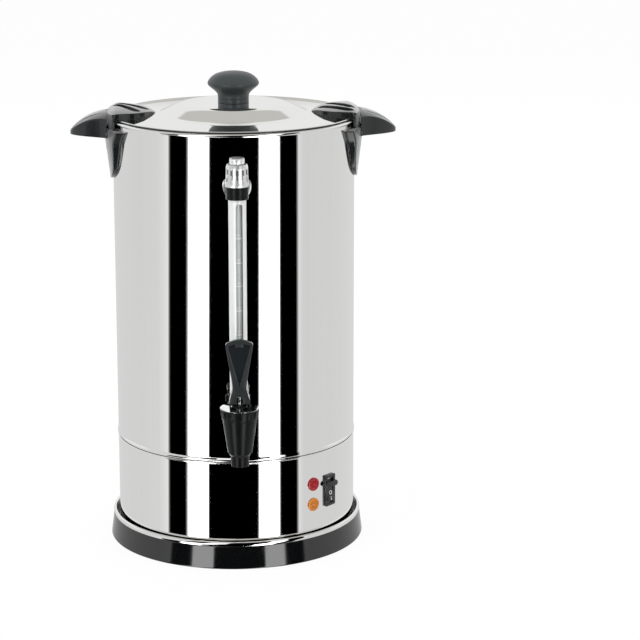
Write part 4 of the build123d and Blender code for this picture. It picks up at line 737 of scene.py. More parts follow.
def pick_out(piece: Object, finish: Finish, test: Callable[[Vector, Vector], bool]) -> None:
    """Gives some faces of a piece a second finish.

    Args:
        piece: the piece.
        finish: the second finish.
        test: takes a face's centre and normal.
    """
    piece.data.materials.append(PAINT.of(finish))
    for face in piece.data.polygons:
        if test(face.center, face.normal):
            face.material_index = 1


def unmirrored(piece: Object) -> None:
    """Keeps a bright fitting out of the shell's mirror, where it would show as its own double."""
    piece.visible_glossy = False


def shift(x: float, y: float, z: float) -> Matrix:
    """Move by distances in mm."""
    return Matrix.Translation((x * MM, y * MM, z * MM))


def along(stations: Sequence[Plan], place: float) -> float:
    """Reads a value off a line of stations.

    Args:
        stations: places, rising, each with its value.
        place: where to read.

    Returns:
        The value between the two nearest stations, or the last one's beyond the end.
    """
    for (p0, v0), (p1, v1) in zip(stations, stations[1:]):
        if place <= p1:
            return v0 + (v1 - v0) * (place - p0) / (p1 - p0)
    return stations[-1][1]


def outward(azimuth: float, height: float) -> Matrix:
    """Place of a piece modelled standing on +Z: laid facing the front at this height, then turned round the urn."""
    return round_to(azimuth) @ shift(0.0, 0.0, height) @ UPRIGHT


def round_to(azimuth: float) -> Matrix:
    """Turn that takes a piece modelled at the front to this azimuth."""
    return Matrix.Rotation(math.radians(azimuth), 4, "Z")


# ---- shells ----


@dataclass
class Shells:
    """Tank, skirt and base: the turned shells that make up the urn's body."""

    radius: float = 137.5
    wall: float = 1.0
    seam_z: float = 123.4
    rim_z: float = 491.7
    rim_radius: float = 138.4
    rim_bead: float = 1.9
    skirt_top: float = 122.6
    base_top: float = 144.5
    base_foot: float = 147.9
    base_height: float = 26.0
    trim_height: float = 5.0
    steps: int = 288

    def tank(self) -> Object:
        """Tank wall with its seam bead, rolled rim and plain inside.

        Returns:
            The tank wall.
        """
        r, z = self.radius, self.seam_z
        inner = r - self.wall
        bead = [(self.rim_radius + self.rim_bead * math.cos(a), self.rim_z + self.rim_bead * math.sin(a))
                for a in (math.radians(d) for d in range(-118, 181, 12))]
        outline = [(r - 3.0, z - 14), (r - 2.0, z - 14), (r - 2.0, z, 0.3), (r, z, 0.4), (r + 0.9, z + 1.3, 0.5),
                   (r + 0.9, z + 2.6, 0.6), (r, z + 4.3, 0.8), (r, self.rim_z - 2.8), (r, self.rim_z - 2.2)]
        outline += bead + [(inner, self.rim_z), (inner, z + 1.5, 0.5), (r - 3.0, z + 1.5)]
        return Bench.turn("tank_wall", outline, steps=self.steps, closed=True)

    def skirt(self) -> Object:
        """Steel skirt round the electrics, with its rolled upper lip and turned-in foot.

        Returns:
            The skirt.
        """
        r, top = self.radius, self.skirt_top
        outline = [(r - 8, 20.0), (r, 20.0, 0.5), (r, top - 1.9, 0.5), (r + 0.6, top - 1.3, 0.3),
                   (r + 0.6, top - 0.4, 0.3), (r, top, 0.3), (r - 0.8, top), (r - 0.8, 20.8), (r - 8, 20.8)]
        return Bench.turn("housing_skirt", outline, steps=self.steps, closed=True)

    def base(self) -> Object:
        """Tapered black base with a rounded foot and a shelf inside.

        Returns:
            The base ring.
        """
        top, foot, high = self.base_top, self.base_foot, self.base_height
        outline = [(foot - 2.8, 0.0, 0.4), (foot, 0.0, 1.2), (top, high, 0.6), (top - 2.8, high), (top - 2.2, 20.0),
                   (127.5, 20.0), (127.5, 17.0), (top - 1.6, 17.0)]
        return Bench.turn("base_moulding", outline, steps=self.steps, closed=True)

    def trim(self) -> Object:
        """Bright rolled ring on the base's upper edge.

        Returns:
            The trim ring.
        """
        outer, low = self.base_top + 0.4, self.base_height
        high = low + self.trim_height
        outline = [(outer - 3.6, low), (outer - 0.5, low, 0.5), (outer, low + 2.2, 2.0), (outer - 0.8, high - 0.6, 1.0),
                   (outer - 1.8, high, 0.8), (outer - 3.0, high - 0.2, 0.5), (outer - 3.6, high - 1.2, 0.4)]
        return Bench.turn("base_trim", outline, steps=self.steps, closed=True)

    def build(self) -> None:
        """Builds and dresses the body."""
        hand_over(self.tank(), "root", Slots.polished_steel, "tank_shell")
        hand_over(self.skirt(), "root", Slots.polished_steel, "lower_housing")
        hand_over(self.base(), "root", Slots.base_black, "base_ring")
        hand_over(self.trim(), "root", Slots.polished_steel, "base_trim_ring")


# ---- lid ----


@dataclass
class Lid:
    """Spun lid with its knob and the two lugs that lock it."""

    crown_z: float = 508.3
    flange_z: float = 494.3
    flange_edge: float = 134.6
    edge_radius: float = 137.0
    edge_bead: float = 1.2
    edge_z: float = 494.78
    sheet: float = 0.9
    knob_z: float = 508.4
    lug_reach: float = 143.8
    slot_floor: float = 499.9
    # share of the leaf's plan that its underside keeps, drawn in towards this distance from the axis
    undercut: float = 0.965
    undercut_from: float = 116.0
    draw_depth: float = 40.0
    # height that parts the drawn-out underside from the leaf's top
    leaf_split: float = 480.0
    # distance from the axis at which the leaf starts to follow the rim
    bow_from: float = 105.0
    # drop of the leaf's top at this distance to each side
    crown_drop: float = 2.2
    crown_half: float = 40.0
    # distance from the lid's axis and half width of the leaf
    lug_plan: tuple[Plan, ...] = (
        (88.8, 2.0), (89.6, 4.4), (91.0, 7.6), (93.0, 11.0), (95.5, 15.6), (98.0, 20.4), (100.5, 25.0), (103.0, 28.6),
        (106.0, 32.2), (109.0, 35.0), (112.0, 37.2), (116.0, 39.5), (120.0, 41.3), (125.0, 43.2), (130.0, 44.8),
        (134.0, 45.2), (137.2, 43.2))
    lug_ridge: tuple[Plan, ...] = (
        (88.8, 497.9), (93.0, 499.8), (97.0, 501.0), (102.3, 502.3), (110.0, 503.3), (118.0, 504.1), (128.0, 504.8),
        (132.0, 505.0), (137.0, 503.6), (141.0, 501.4), (143.8, 499.2))
    grip_slots: tuple[tuple[Plan, Plan, float], ...] = (
        ((129.0, -32.0), (101.5, 0.0), 11.0), ((132.0, -13.0), (111.0, 21.5), 10.5))

    def shell(self) -> Object:
        """Crown, flange, rolled edge and the skirt that centres the lid.

        Returns:
            The lid's sheet.
        """
        bead = [(self.edge_radius + self.edge_bead * math.cos(a), self.edge_z + self.edge_bead * math.sin(a))
                for a in (math.radians(d) for d in range(120, -151, -18))]
        foot = 497.3
        top = [(0.0, self.crown_z), (61.5, self.crown_z, 34.0), (84.0, foot, 6.0),
               (self.flange_edge, self.flange_z, 0.8)]
        inside = [(135.3, 493.6, 0.4), (135.3, 485.3), (134.4, 485.3), (134.4, 493.5, 0.4),
                  (84.0, foot - self.sheet, 5.0), (61.2, self.crown_z - self.sheet, 33.0),
                  (0.0, self.crown_z - self.sheet)]
        return Bench.turn("lid_sheet", top + bead + inside, steps=288)

    def knob(self) -> Object:
        """Mushroom knob with a waisted neck and a parting groove near its foot.

        Returns:
            The knob.
        """
        z = self.knob_z
        neck = [(0.0, 0.0), (17.6, 0.0, 0.4), (17.6, 4.6, 0.3), (17.1, 5.0, 0.2), (17.6, 5.4, 0.3), (17.7, 8.5, 4.0)]
        belly = [(18.6, 10.6), (20.4, 12.6), (22.6, 14.6), (24.9, 16.4), (27.0, 18.2), (28.5, 19.6), (29.2, 21.0),
                 (29.3, 22.3), (28.7, 24.1), (27.4, 26.2), (25.5, 28.3), (22.9, 30.4), (19.6, 32.3), (15.4, 33.7),
                 (10.4, 34.7), (5.2, 35.2), (0.0, 35.3)]
        outline = [(radius, z + height, *corner) for radius, height, *corner in neck + belly]
        piece = Bench.turn("lid_knob_moulding", outline, degrees=50)
        Bench.finish_with(piece, "SUBSURF", levels=1, render_levels=1)
        Bench.smooth(piece, 50)
        return piece

    def bed(self, radius: float) -> float:
        """Height of the flange under a lug at this radius, just inside the sheet."""
        share = min(1.0, (radius - 84.0) / (self.flange_edge - 84.0))
        return 497.3 + (self.flange_z - 497.3) * share - 0.45

    def grip_slot(self, start: Plan, end: Plan, width: float) -> Object:
        """Tool with round ends for a sunk grip slot.

        Args:
            start: plan place of one end's centre.
            end: plan place of the other end's centre.
            width: the slot's width.

        Returns:
            The tool.
        """
        run = Vector((end[0] - start[0], end[1] - start[1]))
        tool = Bench.block("slot_tool", (0.0, 0.0, 0.0), (run.length + width, width, 20.0))
        with Bench.editing(tool):
            Bench.pick(tool, "EDGE", lambda e: abs(e.verts[0].co.z - e.verts[1].co.z) > 10 * MM)
            bpy.ops.mesh.bevel(offset=width * 0.49 * MM, segments=8, affect="EDGES")
        middle = shift((start[0] + end[0]) / 2, (start[1] + end[1]) / 2, self.slot_floor + 10.0)
        Bench.settle(tool, middle @ Matrix.Rotation(math.atan2(run.y, run.x), 4, "Z"))
        return tool

    def lug(self, side: str) -> Object:
        """Lug over the rim: crowned leaf with two slanted grip slots, hook and tongue.

        Args:
            side: right or left.

        Returns:
            The lug.
        """
        stations, columns = self.lug_plan, 25
        corner, reach = stations[-1][0], self.lug_reach

        def rule(i: int, j: int) -> tuple[float, float, float]:
            """Places the leaf's upper sheet.

            Args:
                i: column.
                j: row.

            Returns:
                The point in mm.
            """
            x, half = stations[j]
            y = (2 * i / (columns - 1) - 1) * half
            share = max(0.0, (x - self.bow_from) / (corner - self.bow_from)) ** 2
            x += (math.sqrt(reach ** 2 - y ** 2) - corner) * share
            return x, y, along(self.lug_ridge, x) - self.crown_drop * (y / self.crown_half) ** 2

        leaf = Bench.grid(f"{side}_lug_moulding", columns, len(stations), rule)
        with Bench.editing(leaf):
            bpy.ops.mesh.select_mode(type="FACE")
            Bench.take_all()
            Bench.draw_out(0.0, 0.0, -self.draw_depth)
        middle = self.undercut_from * MM
        for vertex in leaf.data.vertices:
            if vertex.co.z < self.leaf_split * MM:
                vertex.co.y *= self.undercut
                vertex.co.x = min(vertex.co.x, middle + (vertex.co.x - middle) * self.undercut)
                vertex.co.z = self.bed(math.hypot(vertex.co.x, vertex.co.y) / MM) * MM
        Bench.weld(leaf)
        for start, end, width in self.grip_slots:
            Bench.cut(leaf, self.grip_slot(start, end, width))
        hook = Bench.turn("hook", [(140.9, 484.0), (143.5, 484.0), (143.5, 498.6), (140.9, 498.6)], steps=20,
                          closed=True, sweep=37.0, start=71.5)
        tongue = Bench.turn("tongue", [(143.0, 484.0), (147.4, 484.0), (147.4, 487.0), (143.0, 487.0)], steps=10,
                            closed=True, sweep=18.0, start=81.0)
        piece = Bench.join(f"{side}_lug_moulding", [leaf, hook, tongue])
        Bench.soften(piece, 0.55, 4, 0.3)
        if side == "left":
            Bench.settle(piece, HALF_TURN)
        return piece

    def build(self) -> None:
        """Builds and dresses the lid."""
        sheet = hand_over(self.shell(), "lid", Slots.polished_steel, "lid_shell")
        # Painted gap shade: the rolled edge's upright flanks take dark dull steel, standing for the shadow between lid
        # and rim.
        pick_out(sheet, EXTRAS.rolled_flank, lambda c, n: math.hypot(c.x, c.y) > 135.6 * MM and c.z > 493.7 * MM
                 and abs(n.z) < 0.6)
        hand_over(self.knob(), "lid_grip", Slots.grip_plastic, "lid_knob", finish=EXTRAS.knob)
        for side in ("right", "left"):
            hand_over(self.lug(side), "lid", Slots.grip_plastic, f"{side}_lid_lug")


# ---- handles ----


@dataclass
class SideHandles:
    """Two handles, each a saddle on the tank with a wing to lift by."""

    voxel: float = 0.65
    passes: int = 5
    arc_centre: tuple[float, float] = (137.4, 438.8)
    arc_radius: float = 62.0
    groove_width: float = 2.4
    groove_depth: float = 1.2
    groove_slant: float = 17.0
    groove_offset: float = 18.2
    groove_from: float = 131.3
    groove_sweep: float = 38.9
    pad_share: float = 0.88
    pad_low: float = 468.0
    pad_high: float = 483.0
    wing_from: float = 148.0

    def narrow_pad(self, piece: Object) -> None:
        """Draws the saddle's sides in round the tank, full width again at its top.

        Args:
            piece: the handle.
        """
        for vertex in piece.data.vertices:
            place = vertex.co
            reach = math.hypot(place.x, place.y)
            share = min(1.0, max(0.0, (place.z / MM - self.pad_low) / (self.pad_high - self.pad_low)))
            if reach > self.wing_from * MM:
                share = 1.0
            way = math.copysign(1.0, place.x)
            angle = math.atan2(place.y, place.x * way) * (self.pad_share + (1 - self.pad_share) * share)
            place.x, place.y = way * reach * math.cos(angle), reach * math.sin(angle)

    def groove_tool(self, way: int) -> Object:
        """Curved bar that follows the right wing's top, for one of its two converging grooves.

        Args:
            way: 1 for the groove on the +Y side, -1 for the other.

        Returns:
            The tool.
        """
        low, high, half = self.arc_radius - self.groove_depth, self.arc_radius + 3.0, self.groove_width / 2
        tool = Bench.turn("groove_tool", [(low, -half), (high, -half), (high, half), (low, half)], steps=40,
                          closed=True, sweep=self.groove_sweep, start=self.groove_from)
        slant = math.radians(self.groove_slant)
        Bench.settle(tool, shift(self.arc_centre[0], way * self.groove_offset, self.arc_centre[1])
                     @ Matrix.Rotation(-way * slant, 4, "Z") @ Matrix.Diagonal((1 / math.cos(slant), 1.0, 1.0, 1.0))
                     @ UPRIGHT)
        return tool

    def build(self) -> None:
        """Builds and dresses both handles."""
        for side in ("right", "left"):
            piece = Bench.from_cad(f"{side}_handle_moulding", f"{side}_handle")
            self.narrow_pad(piece)
            for way in (1, -1):
                tool = self.groove_tool(way)
                if side == "left":
                    Bench.settle(tool, HALF_TURN)
                Bench.cut(piece, tool)
            Bench.soften(piece, self.voxel, self.passes, 0.35)
            hand_over(piece, "root", Slots.grip_plastic, f"{side}_handle")


# ---- sight gauge ----


@dataclass
class Upright:
    """Sub-assembly about a vertical axis in front of the tank."""

    y: float

    def axis(self) -> Plan:
        """Place of the axis in plan."""
        return (0.0, self.y)

    def lathe(self, name: str, outline: Outline, steps: int = 96) -> Object:
        """Turns a closed section about the axis."""
        return Bench.turn(name, outline, self.axis(), steps, closed=True)


@dataclass
class SightGauge(Upright):
    """Glass in its slotted guard, with collar, cap, vent plug, saddle, socket and level marks."""

    y: float = -151.5
    glass_radius: float = 5.0
    guard_radius: float = 9.7
    guard_low: float = 206.0
    guard_high: float = 424.9
    slot: float = 7.6
    slot_turn: float = 11.0
    collar_low: float = 425.0
    collar_high: float = 439.0
    cap_top: float = 463.5
    flutes: int = 12
    marks: tuple[float, ...] = (382.0, 354.9, 328.8, 301.4, 274.5, 247.4, 220.3)
    cups: tuple[int, ...] = (90, 80, 70, 60, 50, 40, 30)

    def guard(self) -> Object:
        """Guard tube with its long window cut through the front.

        Returns:
            The guard.
        """
        r, low, high = self.guard_radius, self.guard_low, self.guard_high
        tube = self.lathe("guard_tube", [(r - 0.8, low), (r, low, 0.2), (r, high, 0.2), (r - 0.8, high)])
        bottom, top = low + 4.0, high - 4.0
        cutter = Bench.block("window_tool", (0.0, self.y - r, (bottom + top) / 2), (self.slot, 2 * r - 2, top - bottom))
        with Bench.editing(cutter):
            Bench.pick(cutter, "EDGE", lambda e: abs(e.verts[0].co.y - e.verts[1].co.y) > r * MM)
            bpy.ops.mesh.bevel(offset=self.slot / 2 * 0.98 * MM, segments=8, affect="EDGES")
        Bench.cut(tube, cutter)
        axis = shift(*self.axis(), 0.0)
        Bench.settle(tube, axis @ round_to(self.slot_turn) @ axis.inverted())
        Bench.smooth(tube, 30)
        return tube

    def glass(self) -> Object:
        """Glass tube with fire-polished ends.

        Returns:
            The glass.
        """
        r = self.glass_radius
        low, high = 186.0, 447.0
        return self.lathe("sight_tube", [(r - 1.4, low, 0.4), (r, low, 0.6), (r, high, 0.6), (r - 1.4, high, 0.4)], 64)

    def collar(self) -> Object:
        """Black collar with rounded edges and a shallow groove.

        Returns:
            The collar.
        """
        low, high = self.collar_low, self.collar_high
        outline = [(5.1, low), (12.3, low, 0.9), (12.3, low + 4.2, 0.3), (12.0, low + 4.7, 0.3), (12.3, low + 5.2, 0.3),
                   (12.3, high, 0.9), (5.1, high)]
        return self.lathe("collar_moulding", outline)

    def cap(self) -> Object:
        """Tapered chrome cap with narrow slots round it.

        Returns:
            The cap.
        """
        low = self.collar_high + 0.1
        outline = [(0.0, low), (12.9, low, 0.3), (13.3, low + 0.9, 0.6), (13.3, low + 3.2, 0.5), (12.8, low + 3.8, 0.2),
                   (12.5, low + 8.0), (12.2, low + 13.0), (12.0, low + 18.6), (11.9, low + 20.6, 0.4),
                   (11.0, self.cap_top, 0.9), (0.0, self.cap_top)]
        piece = Bench.turn("fluted_cap", outline, self.axis(), self.flutes * 12)
        Bench.flute(piece, self.axis(), self.flutes, 0.11, (low + 6, low + 19.5), 11.0, 0.84)
        Bench.smooth(piece, 30)
        return piece

    def plug(self) -> Object:
        """Knurled vent plug on the cap.

        Returns:
            The plug.
        """
        low = self.cap_top + 0.1
        outline = [(0.0, low), (7.4, low, 0.3), (8.0, low + 0.9), (8.3, low + 1.6, 0.5), (8.3, low + 5.6, 0.6),
                   (7.3, low + 6.6, 0.5), (0.0, low + 6.6)]
        piece = Bench.turn("vent_knob", outline, self.axis(), 96)
        Bench.flute(piece, self.axis(), 24, 0.03, (low + 1.4, low + 5.2), 8.0, 0.95)
        Bench.smooth(piece, 24)
        return piece

    def socket(self) -> Object:
        """Black socket under the guard, with a small ear.

        Returns:
            The socket.
        """
        outline = [(3.6, 181.5), (10.2, 181.5, 0.4), (10.2, 193.0, 0.8), (12.0, 196.0, 0.8), (12.0, 205.9, 0.9),
                   (5.1, 205.9), (5.1, 186.0), (3.6, 186.0)]
        body = self.lathe("socket_moulding", outline)
        ear = Bench.block("ear", (-12.6, self.y, 201.4), (4.0, 4.0, 7.0))
        Bench.finish_with(ear, "BEVEL", width=0.8 * MM, segments=3)
        Bench.smooth(ear, 40)
        return Bench.join("socket_moulding", [body, ear])

    def level_marks(self) -> Object:
        """White lines across the glass, one for each level.

        Returns:
            The lines, in one piece.
        """
        r, outer, half, sweep = self.glass_radius, self.glass_radius + 0.12, 0.6, 124.0
        lines = [Bench.turn(f"line_{i}", [(r, z - half), (outer, z - half), (outer, z + half), (r, z + half)],
                            self.axis(), 24, closed=True, sweep=sweep, start=self.slot_turn - sweep / 2)
                 for i, z in enumerate(self.marks)]
        return Bench.join("level_lines", lines)

    def figures(self) -> Object:
        """Small plain numbers above the lines, wrapped on the glass.

        Returns:
            The numbers, in one piece.
        """
        digits = []
        for z, cups in zip(self.marks, self.cups):
            text = Bench.lettering(str(cups), 5.2, 0.04)
            Bench.settle(text, shift(0.0, 0.0, z + 1.4) @ UPRIGHT)
            wrap = self.glass_radius * MM
            for vertex in text.data.vertices:
                angle = vertex.co.x / wrap + math.radians(self.slot_turn)
                deep = wrap + 0.06 * MM - vertex.co.y
                vertex.co.x = deep * math.sin(angle)
                vertex.co.y = self.y * MM - deep * math.cos(angle)
            digits.append(text)
        return Bench.join("level_numbers", digits)

    def build(self) -> None:
        """Builds and dresses the gauge."""
        hand_over(self.guard(), "root", Slots.blasted_steel, "gauge_guard")
        hand_over(self.glass(), "root", Slots.sight_glass, "gauge_glass")
        hand_over(self.collar(), "root", Slots.tap_black, "gauge_collar")
        cap = hand_over(self.cap(), "root", Slots.chrome_plate, "gauge_cap")
        low = self.collar_high + 0.1
        # Painted shade: the walls of the cap's slots take the darker grey plate.
        pick_out(cap, EXTRAS.slot_plate, lambda c, n: low + 6.5 < c.z / MM < low + 19.4 and abs(n.z) < 0.5
                 and 8.0 < math.hypot(c.x / MM, c.y / MM - self.y) < 11.2)
        unmirrored(cap)
        unmirrored(hand_over(self.plug(), "root", Slots.chrome_plate, "gauge_vent_plug"))
        hand_over(self.socket(), "root", Slots.tap_black, "gauge_socket")
        hand_over(Bench.relieved("saddle_casting", "gauge_saddle", 0.5), "root", Slots.chrome_plate, "gauge_saddle")
        hand_over(self.level_marks(), "root", Slots.sight_glass, finish=EXTRAS.white_ink)
        hand_over(self.figures(), "root", Slots.sight_glass, finish=EXTRAS.pale_ink)


# ---- tap ----


@dataclass
class DispensingTap(Upright):
    """Tapered tap with a fluted bonnet, bright disc and paddle lever."""

    y: float = -186.5
    shank_z: float = 165.0
    flutes: int = 14
    # height and half width
    lever_rows: tuple[Plan, ...] = (
        (203.7, 11.5), (206.6, 11.5), (209.9, 11.2), (214.4, 9.9), (218.5, 8.6), (222.0, 7.7), (223.4, 7.65),
        (229.0, 8.2), (236.0, 9.2), (244.0, 10.5), (252.0, 11.9), (260.0, 13.3), (266.0, 14.4), (269.0, 14.9),
        (270.8, 15.0), (272.0, 14.2))
    # height and place of the lever's front face behind the tap's axis
    lever_face: tuple[Plan, ...] = (
        (203.7, -3.6), (204.9, -7.0), (206.6, -9.3), (209.9, -7.9), (222.0, -4.0), (277.0, -3.0))
    lever_draw: float = 20.0
    lever_back: float = 4.0
    arm_radius: float = 13.0
    arm_wall: float = 2.9
    arm_bore: float = 6.0
    panel_low: float = 223.4
    panel_high: float = 269.4
    panel_depth: float = 2.3
    legs_top: float = 214.3
    leg_gap: float = 3.3

    def body(self) -> Object:
        """Cone and spout in one, with the arm that takes the shank.

        Returns:
            The body.
        """
        outline = [(7.2, 134.6, 0.5), (10.0, 134.6, 0.7), (10.3, 146.0, 1.0), (13.3, 149.8, 1.8), (16.0, 168.0),
                   (18.9, 188.0, 0.4), (16.3, 188.0), (9.8, 154.0), (7.2, 154.0)]
        cone = self.lathe("tap_cone", outline, 128)
        arm = Bench.rod("arm", (0.0, self.y + 9.0, self.shank_z), (0.0, self.y + 19.6, self.shank_z), self.arm_radius)
        with Bench.editing(arm):
            Bench.pick(arm, "FACE", lambda f: f.normal.y > 0.9)
            bpy.ops.mesh.inset(thickness=self.arm_wall * MM)
            Bench.draw_out(0.0, -self.arm_bore, 0.0)
        Bench.round_edges(arm, 0.5, 2, 40)
        Bench.smooth(arm, 35)
        return Bench.join("tap_cone", [cone, arm])

    def bonnet(self) -> Object:
        """Bonnet with short grip flutes and the boss under the lever.

        Returns:
            The bonnet.
        """
        low, top = 188.1, 200.0
        outline = [(12.6, low), (19.3, low, 0.3), (19.75, low + 1.2, 0.4), (20.1, low + 3.0), (20.7, low + 6.6),
                   (21.15, low + 9.4), (21.4, top - 1.2, 0.3), (21.0, top, 0.4), (8.5, top), (8.5, top + 2.0),
                   (7.9, top + 3.4, 0.4), (3.05, top + 3.4), (3.05, top - 3.5), (12.6, top - 3.5)]
        piece = self.lathe("bonnet_moulding", outline, self.flutes * 10)
        Bench.flute(piece, self.axis(), self.flutes, 0.06, (low + 2, top - 2), 19.0, 0.94)
        Bench.smooth(piece, 28)
        return piece

    def disc(self) -> Object:
        """Bright disc on the bonnet, with a sloping rim."""
        outline = [(8.6, 200.1), (21.5, 200.1, 0.1), (21.5, 200.3, 0.1), (20.9, 200.4), (16.0, 201.2), (12.0, 201.85),
                   (8.6, 201.9)]
        return self.lathe("bonnet_washer", outline, 128)

    def lever(self) -> Object:
        """Paddle with a sunk V panel, bowed top and two feet astride the stem.

        Returns:
            The lever.
        """
        rows, apex, top = self.lever_rows, self.panel_low, self.panel_high

        def v_half(z: float) -> float:
            """Half width of the V panel at a height."""
            return 12.9 * (z - apex) / (top - apex)

        def rule(i: int, j: int) -> tuple[float, float, float]:
            """Places the front sheet.

            Args:
                i: column.
                j: row.

            Returns:
                The point in mm.
            """
            z, edge = rows[j]
            if z <= self.legs_top + 0.2:
                core, panel = self.leg_gap, (self.leg_gap + edge) / 2
            else:
                wide = max(0.9, v_half(z)) if z >= apex else 1.6 + (apex - z) * 0.35
                core, panel = wide * 0.35, min(wide, edge - 1.6)
            x = (-edge, -panel, -core, 0.0, core, panel, edge)[i]
            bow = 5.0 * max(0.0, (z - 258.0) / 14.0) * (1 - (x / 15.5) ** 2)
            return x, self.y + along(self.lever_face, z), z + bow

        def in_gap(face: Any) -> bool:
            """Whether a face lies between the legs."""
            middle = face.calc_center_median() / MM
            return middle.z < self.legs_top and abs(middle.x) < self.leg_gap

        def in_panel(face: Any) -> bool:
            """Whether a face belongs to the V panel."""
            middle = face.calc_center_median() / MM
            return (face.normal.y < -0.9 and abs(middle.x) < max(0.0, v_half(middle.z)) and apex < middle.z < top + 4.5
                    and all(abs(v.co.x) < 13.2 * MM for v in face.verts)
                    and min(v.co.z for v in face.verts) < (top - 2) * MM)

        piece = Bench.grid("lever_paddle", 7, len(rows), rule)
        with Bench.editing(piece):
            Bench.pick(piece, "FACE", in_gap)
            bpy.ops.mesh.delete(type="FACE")
            Bench.take_all()
            Bench.draw_out(0.0, self.lever_draw, 0.0)
        back = (self.y + self.lever_back) * MM
        for vertex in piece.data.vertices:
            if vertex.co.y > (self.y + 8.0) * MM:
                vertex.co.y = back - max(0.0, vertex.co.z - 0.222) * 1.5 / 55
        Bench.weld(piece)
        with Bench.editing(piece):
            Bench.pick(piece, "FACE", in_panel)
            Bench.draw_out(0.0, self.panel_depth, 0.0)
        Bench.weld(piece)
        Bench.round_edges(piece, 0.9, 3, 35)
        Bench.smooth(piece, 36)
        return piece

    def build(self) -> None:
        """Builds and dresses the tap."""
        hand_over(self.body(), "root", Slots.tap_black, "tap_body")
        hand_over(self.bonnet(), "root", Slots.tap_black, "tap_bonnet")
        unmirrored(hand_over(self.disc(), "root", Slots.chrome_plate, "bonnet_disc", finish=EXTRAS.bright_plate))
        lever = hand_over(self.lever(), "lever", Slots.lever_black, "tap_lever")
        # Painted shade: the faces of the sunk V panel take a darker colour.
        pick_out(lever, EXTRAS.panel,
                 lambda c, n: n.y < -0.8 and c.y / MM > self.y + along(self.lever_face, c.z / MM) + 1.5)


# ---- lamps, switch and inlet ----


@dataclass
class SignalPanel:
    """Two lamps, the rocker switch and the power inlet in the skirt."""

    radius: float = 137.5
    lamp_azimuth: float = 38.0
    lamp_radius: float = 7.75
    spokes: int = 16
    red_z: float = 86.5
    amber_z: float = 62.5
    switch_azimuth: float = 48.8
    switch_z: float = 74.2
    switch_face: float = 140.1
    frame_back: float = 132.0
    frame_width: float = 17.0
    frame_height: float = 36.5
    frame_corner: float = 1.5
    frame_border: float = 3.1
    window_depth: float = 8.0
    pivot_depth: float = 6.0
    rocker_face_depth: float = 0.7
    rest_tilt: float = -9.0
    marks: tuple[tuple[str, float], ...] = (("O", 68.2), ("I", 61.4))

    def lamp(self, name: str, z: float) -> Object:
        """Lens cap with a rounded rim, a sunk ring and a ribbed middle.

        Args:
            name: the piece's name.
            z: its height.

        Returns:
            The lens.
        """
        r, low = self.lamp_radius, self.radius - 0.9
        outline = [(0.0, low), (r, low), (r, low + 2.1, 0.6), (r - 1.2, low + 2.7, 0.3), (r - 1.7, low + 2.2, 0.2),
                   (r - 2.2, low + 2.3), (4.2, low + 2.6), (2.6, low + 2.7), (1.2, low + 2.8), (0.0, low + 2.8)]
        piece = Bench.turn(name, outline, steps=self.spokes * 4, degrees=24)

        def in_furrow(vertex: Any) -> bool:
            """Tells whether a vertex lies between two of the middle's ribs.

            Args:
                vertex: the bmesh vertex.

            Returns:
                True between ribs.
            """
            x, y, z = vertex.co / MM
            step = round(math.atan2(y, x) / (FULL_TURN / (self.spokes * 4)))
            return step % 4 < 2 and 2 < math.hypot(x, y) < r - 2 and z > low + 2

        with Bench.editing(piece):
            Bench.pick(piece, "VERT", in_furrow)
            bpy.ops.transform.translate(value=(0.0, 0.0, -0.7 * MM))
        Bench.smooth(piece, 24)
        Bench.settle(piece, outward(self.lamp_azimuth, z))
        return piece

    def switch_frame(self) -> Object:
        """Switch frame with rounded corners and a deep window.

        Returns:
            The frame.
        """
        piece = Bench.block("switch_frame", (0.0, -(self.switch_face + self.frame_back) / 2, self.switch_z),
                            (self.frame_width, self.switch_face - self.frame_back, self.frame_height))
        with Bench.editing(piece):
            Bench.pick(piece, "EDGE", lambda e: abs(e.verts[0].co.y - e.verts[1].co.y) > 5 * MM)
            bpy.ops.mesh.bevel(offset=self.frame_corner * MM, segments=4, affect="EDGES")
            Bench.pick(piece, "FACE", lambda f: f.normal.y < -0.9)
            bpy.ops.mesh.inset(thickness=self.frame_border * MM)
            Bench.draw_out(0.0, self.window_depth, 0.0)
        Bench.round_edges(piece, 0.6, 3, 50)
        Bench.settle(piece, round_to(self.switch_azimuth))
        Bench.smooth(piece, 35)
        return piece

    def rocker_marks(self) -> Object:
        """White circle and bar printed on the rocker.

        Returns:
            The marks, in one piece.
        """
        pivot = shift(0.0, self.pivot_depth - self.switch_face, self.switch_z)
        tilt = pivot @ Matrix.Rotation(math.radians(self.rest_tilt), 4, "X") @ pivot.inverted()
        signs = []
        for sign, z in self.marks:
            text = Bench.lettering(sign, 6.4, 0.05)
            Bench.settle(text, shift(0.0, self.rocker_face_depth - self.switch_face - 0.08, z) @ UPRIGHT)
            Bench.settle(text, tilt)
            Bench.settle(text, round_to(self.switch_azimuth))
            signs.append(text)
        return Bench.join("rocker_marks", signs)

    def build(self) -> None:
        """Builds and dresses the lamps, switch and inlet."""
        hand_over(self.lamp("red_lamp_cap", self.red_z), "root", Slots.red_lens, "red_lamp_lens")
        hand_over(self.lamp("amber_lamp_cap", self.amber_z), "root", Slots.amber_lens, "amber_lamp_lens")
        hand_over(self.switch_frame(), "root", Slots.switch_black, "switch_housing")
        hand_over(Bench.relieved("rocker_bar", "switch_rocker", 0.35), "rocker", Slots.switch_black, "switch_rocker")
        hand_over(self.rocker_marks(), "rocker", Slots.switch_black, finish=EXTRAS.white_ink)
        hand_over(Bench.relieved("inlet_moulding", "power_inlet", 0.5), "root", Slots.switch_black, "power_inlet")


# ---- studio ----


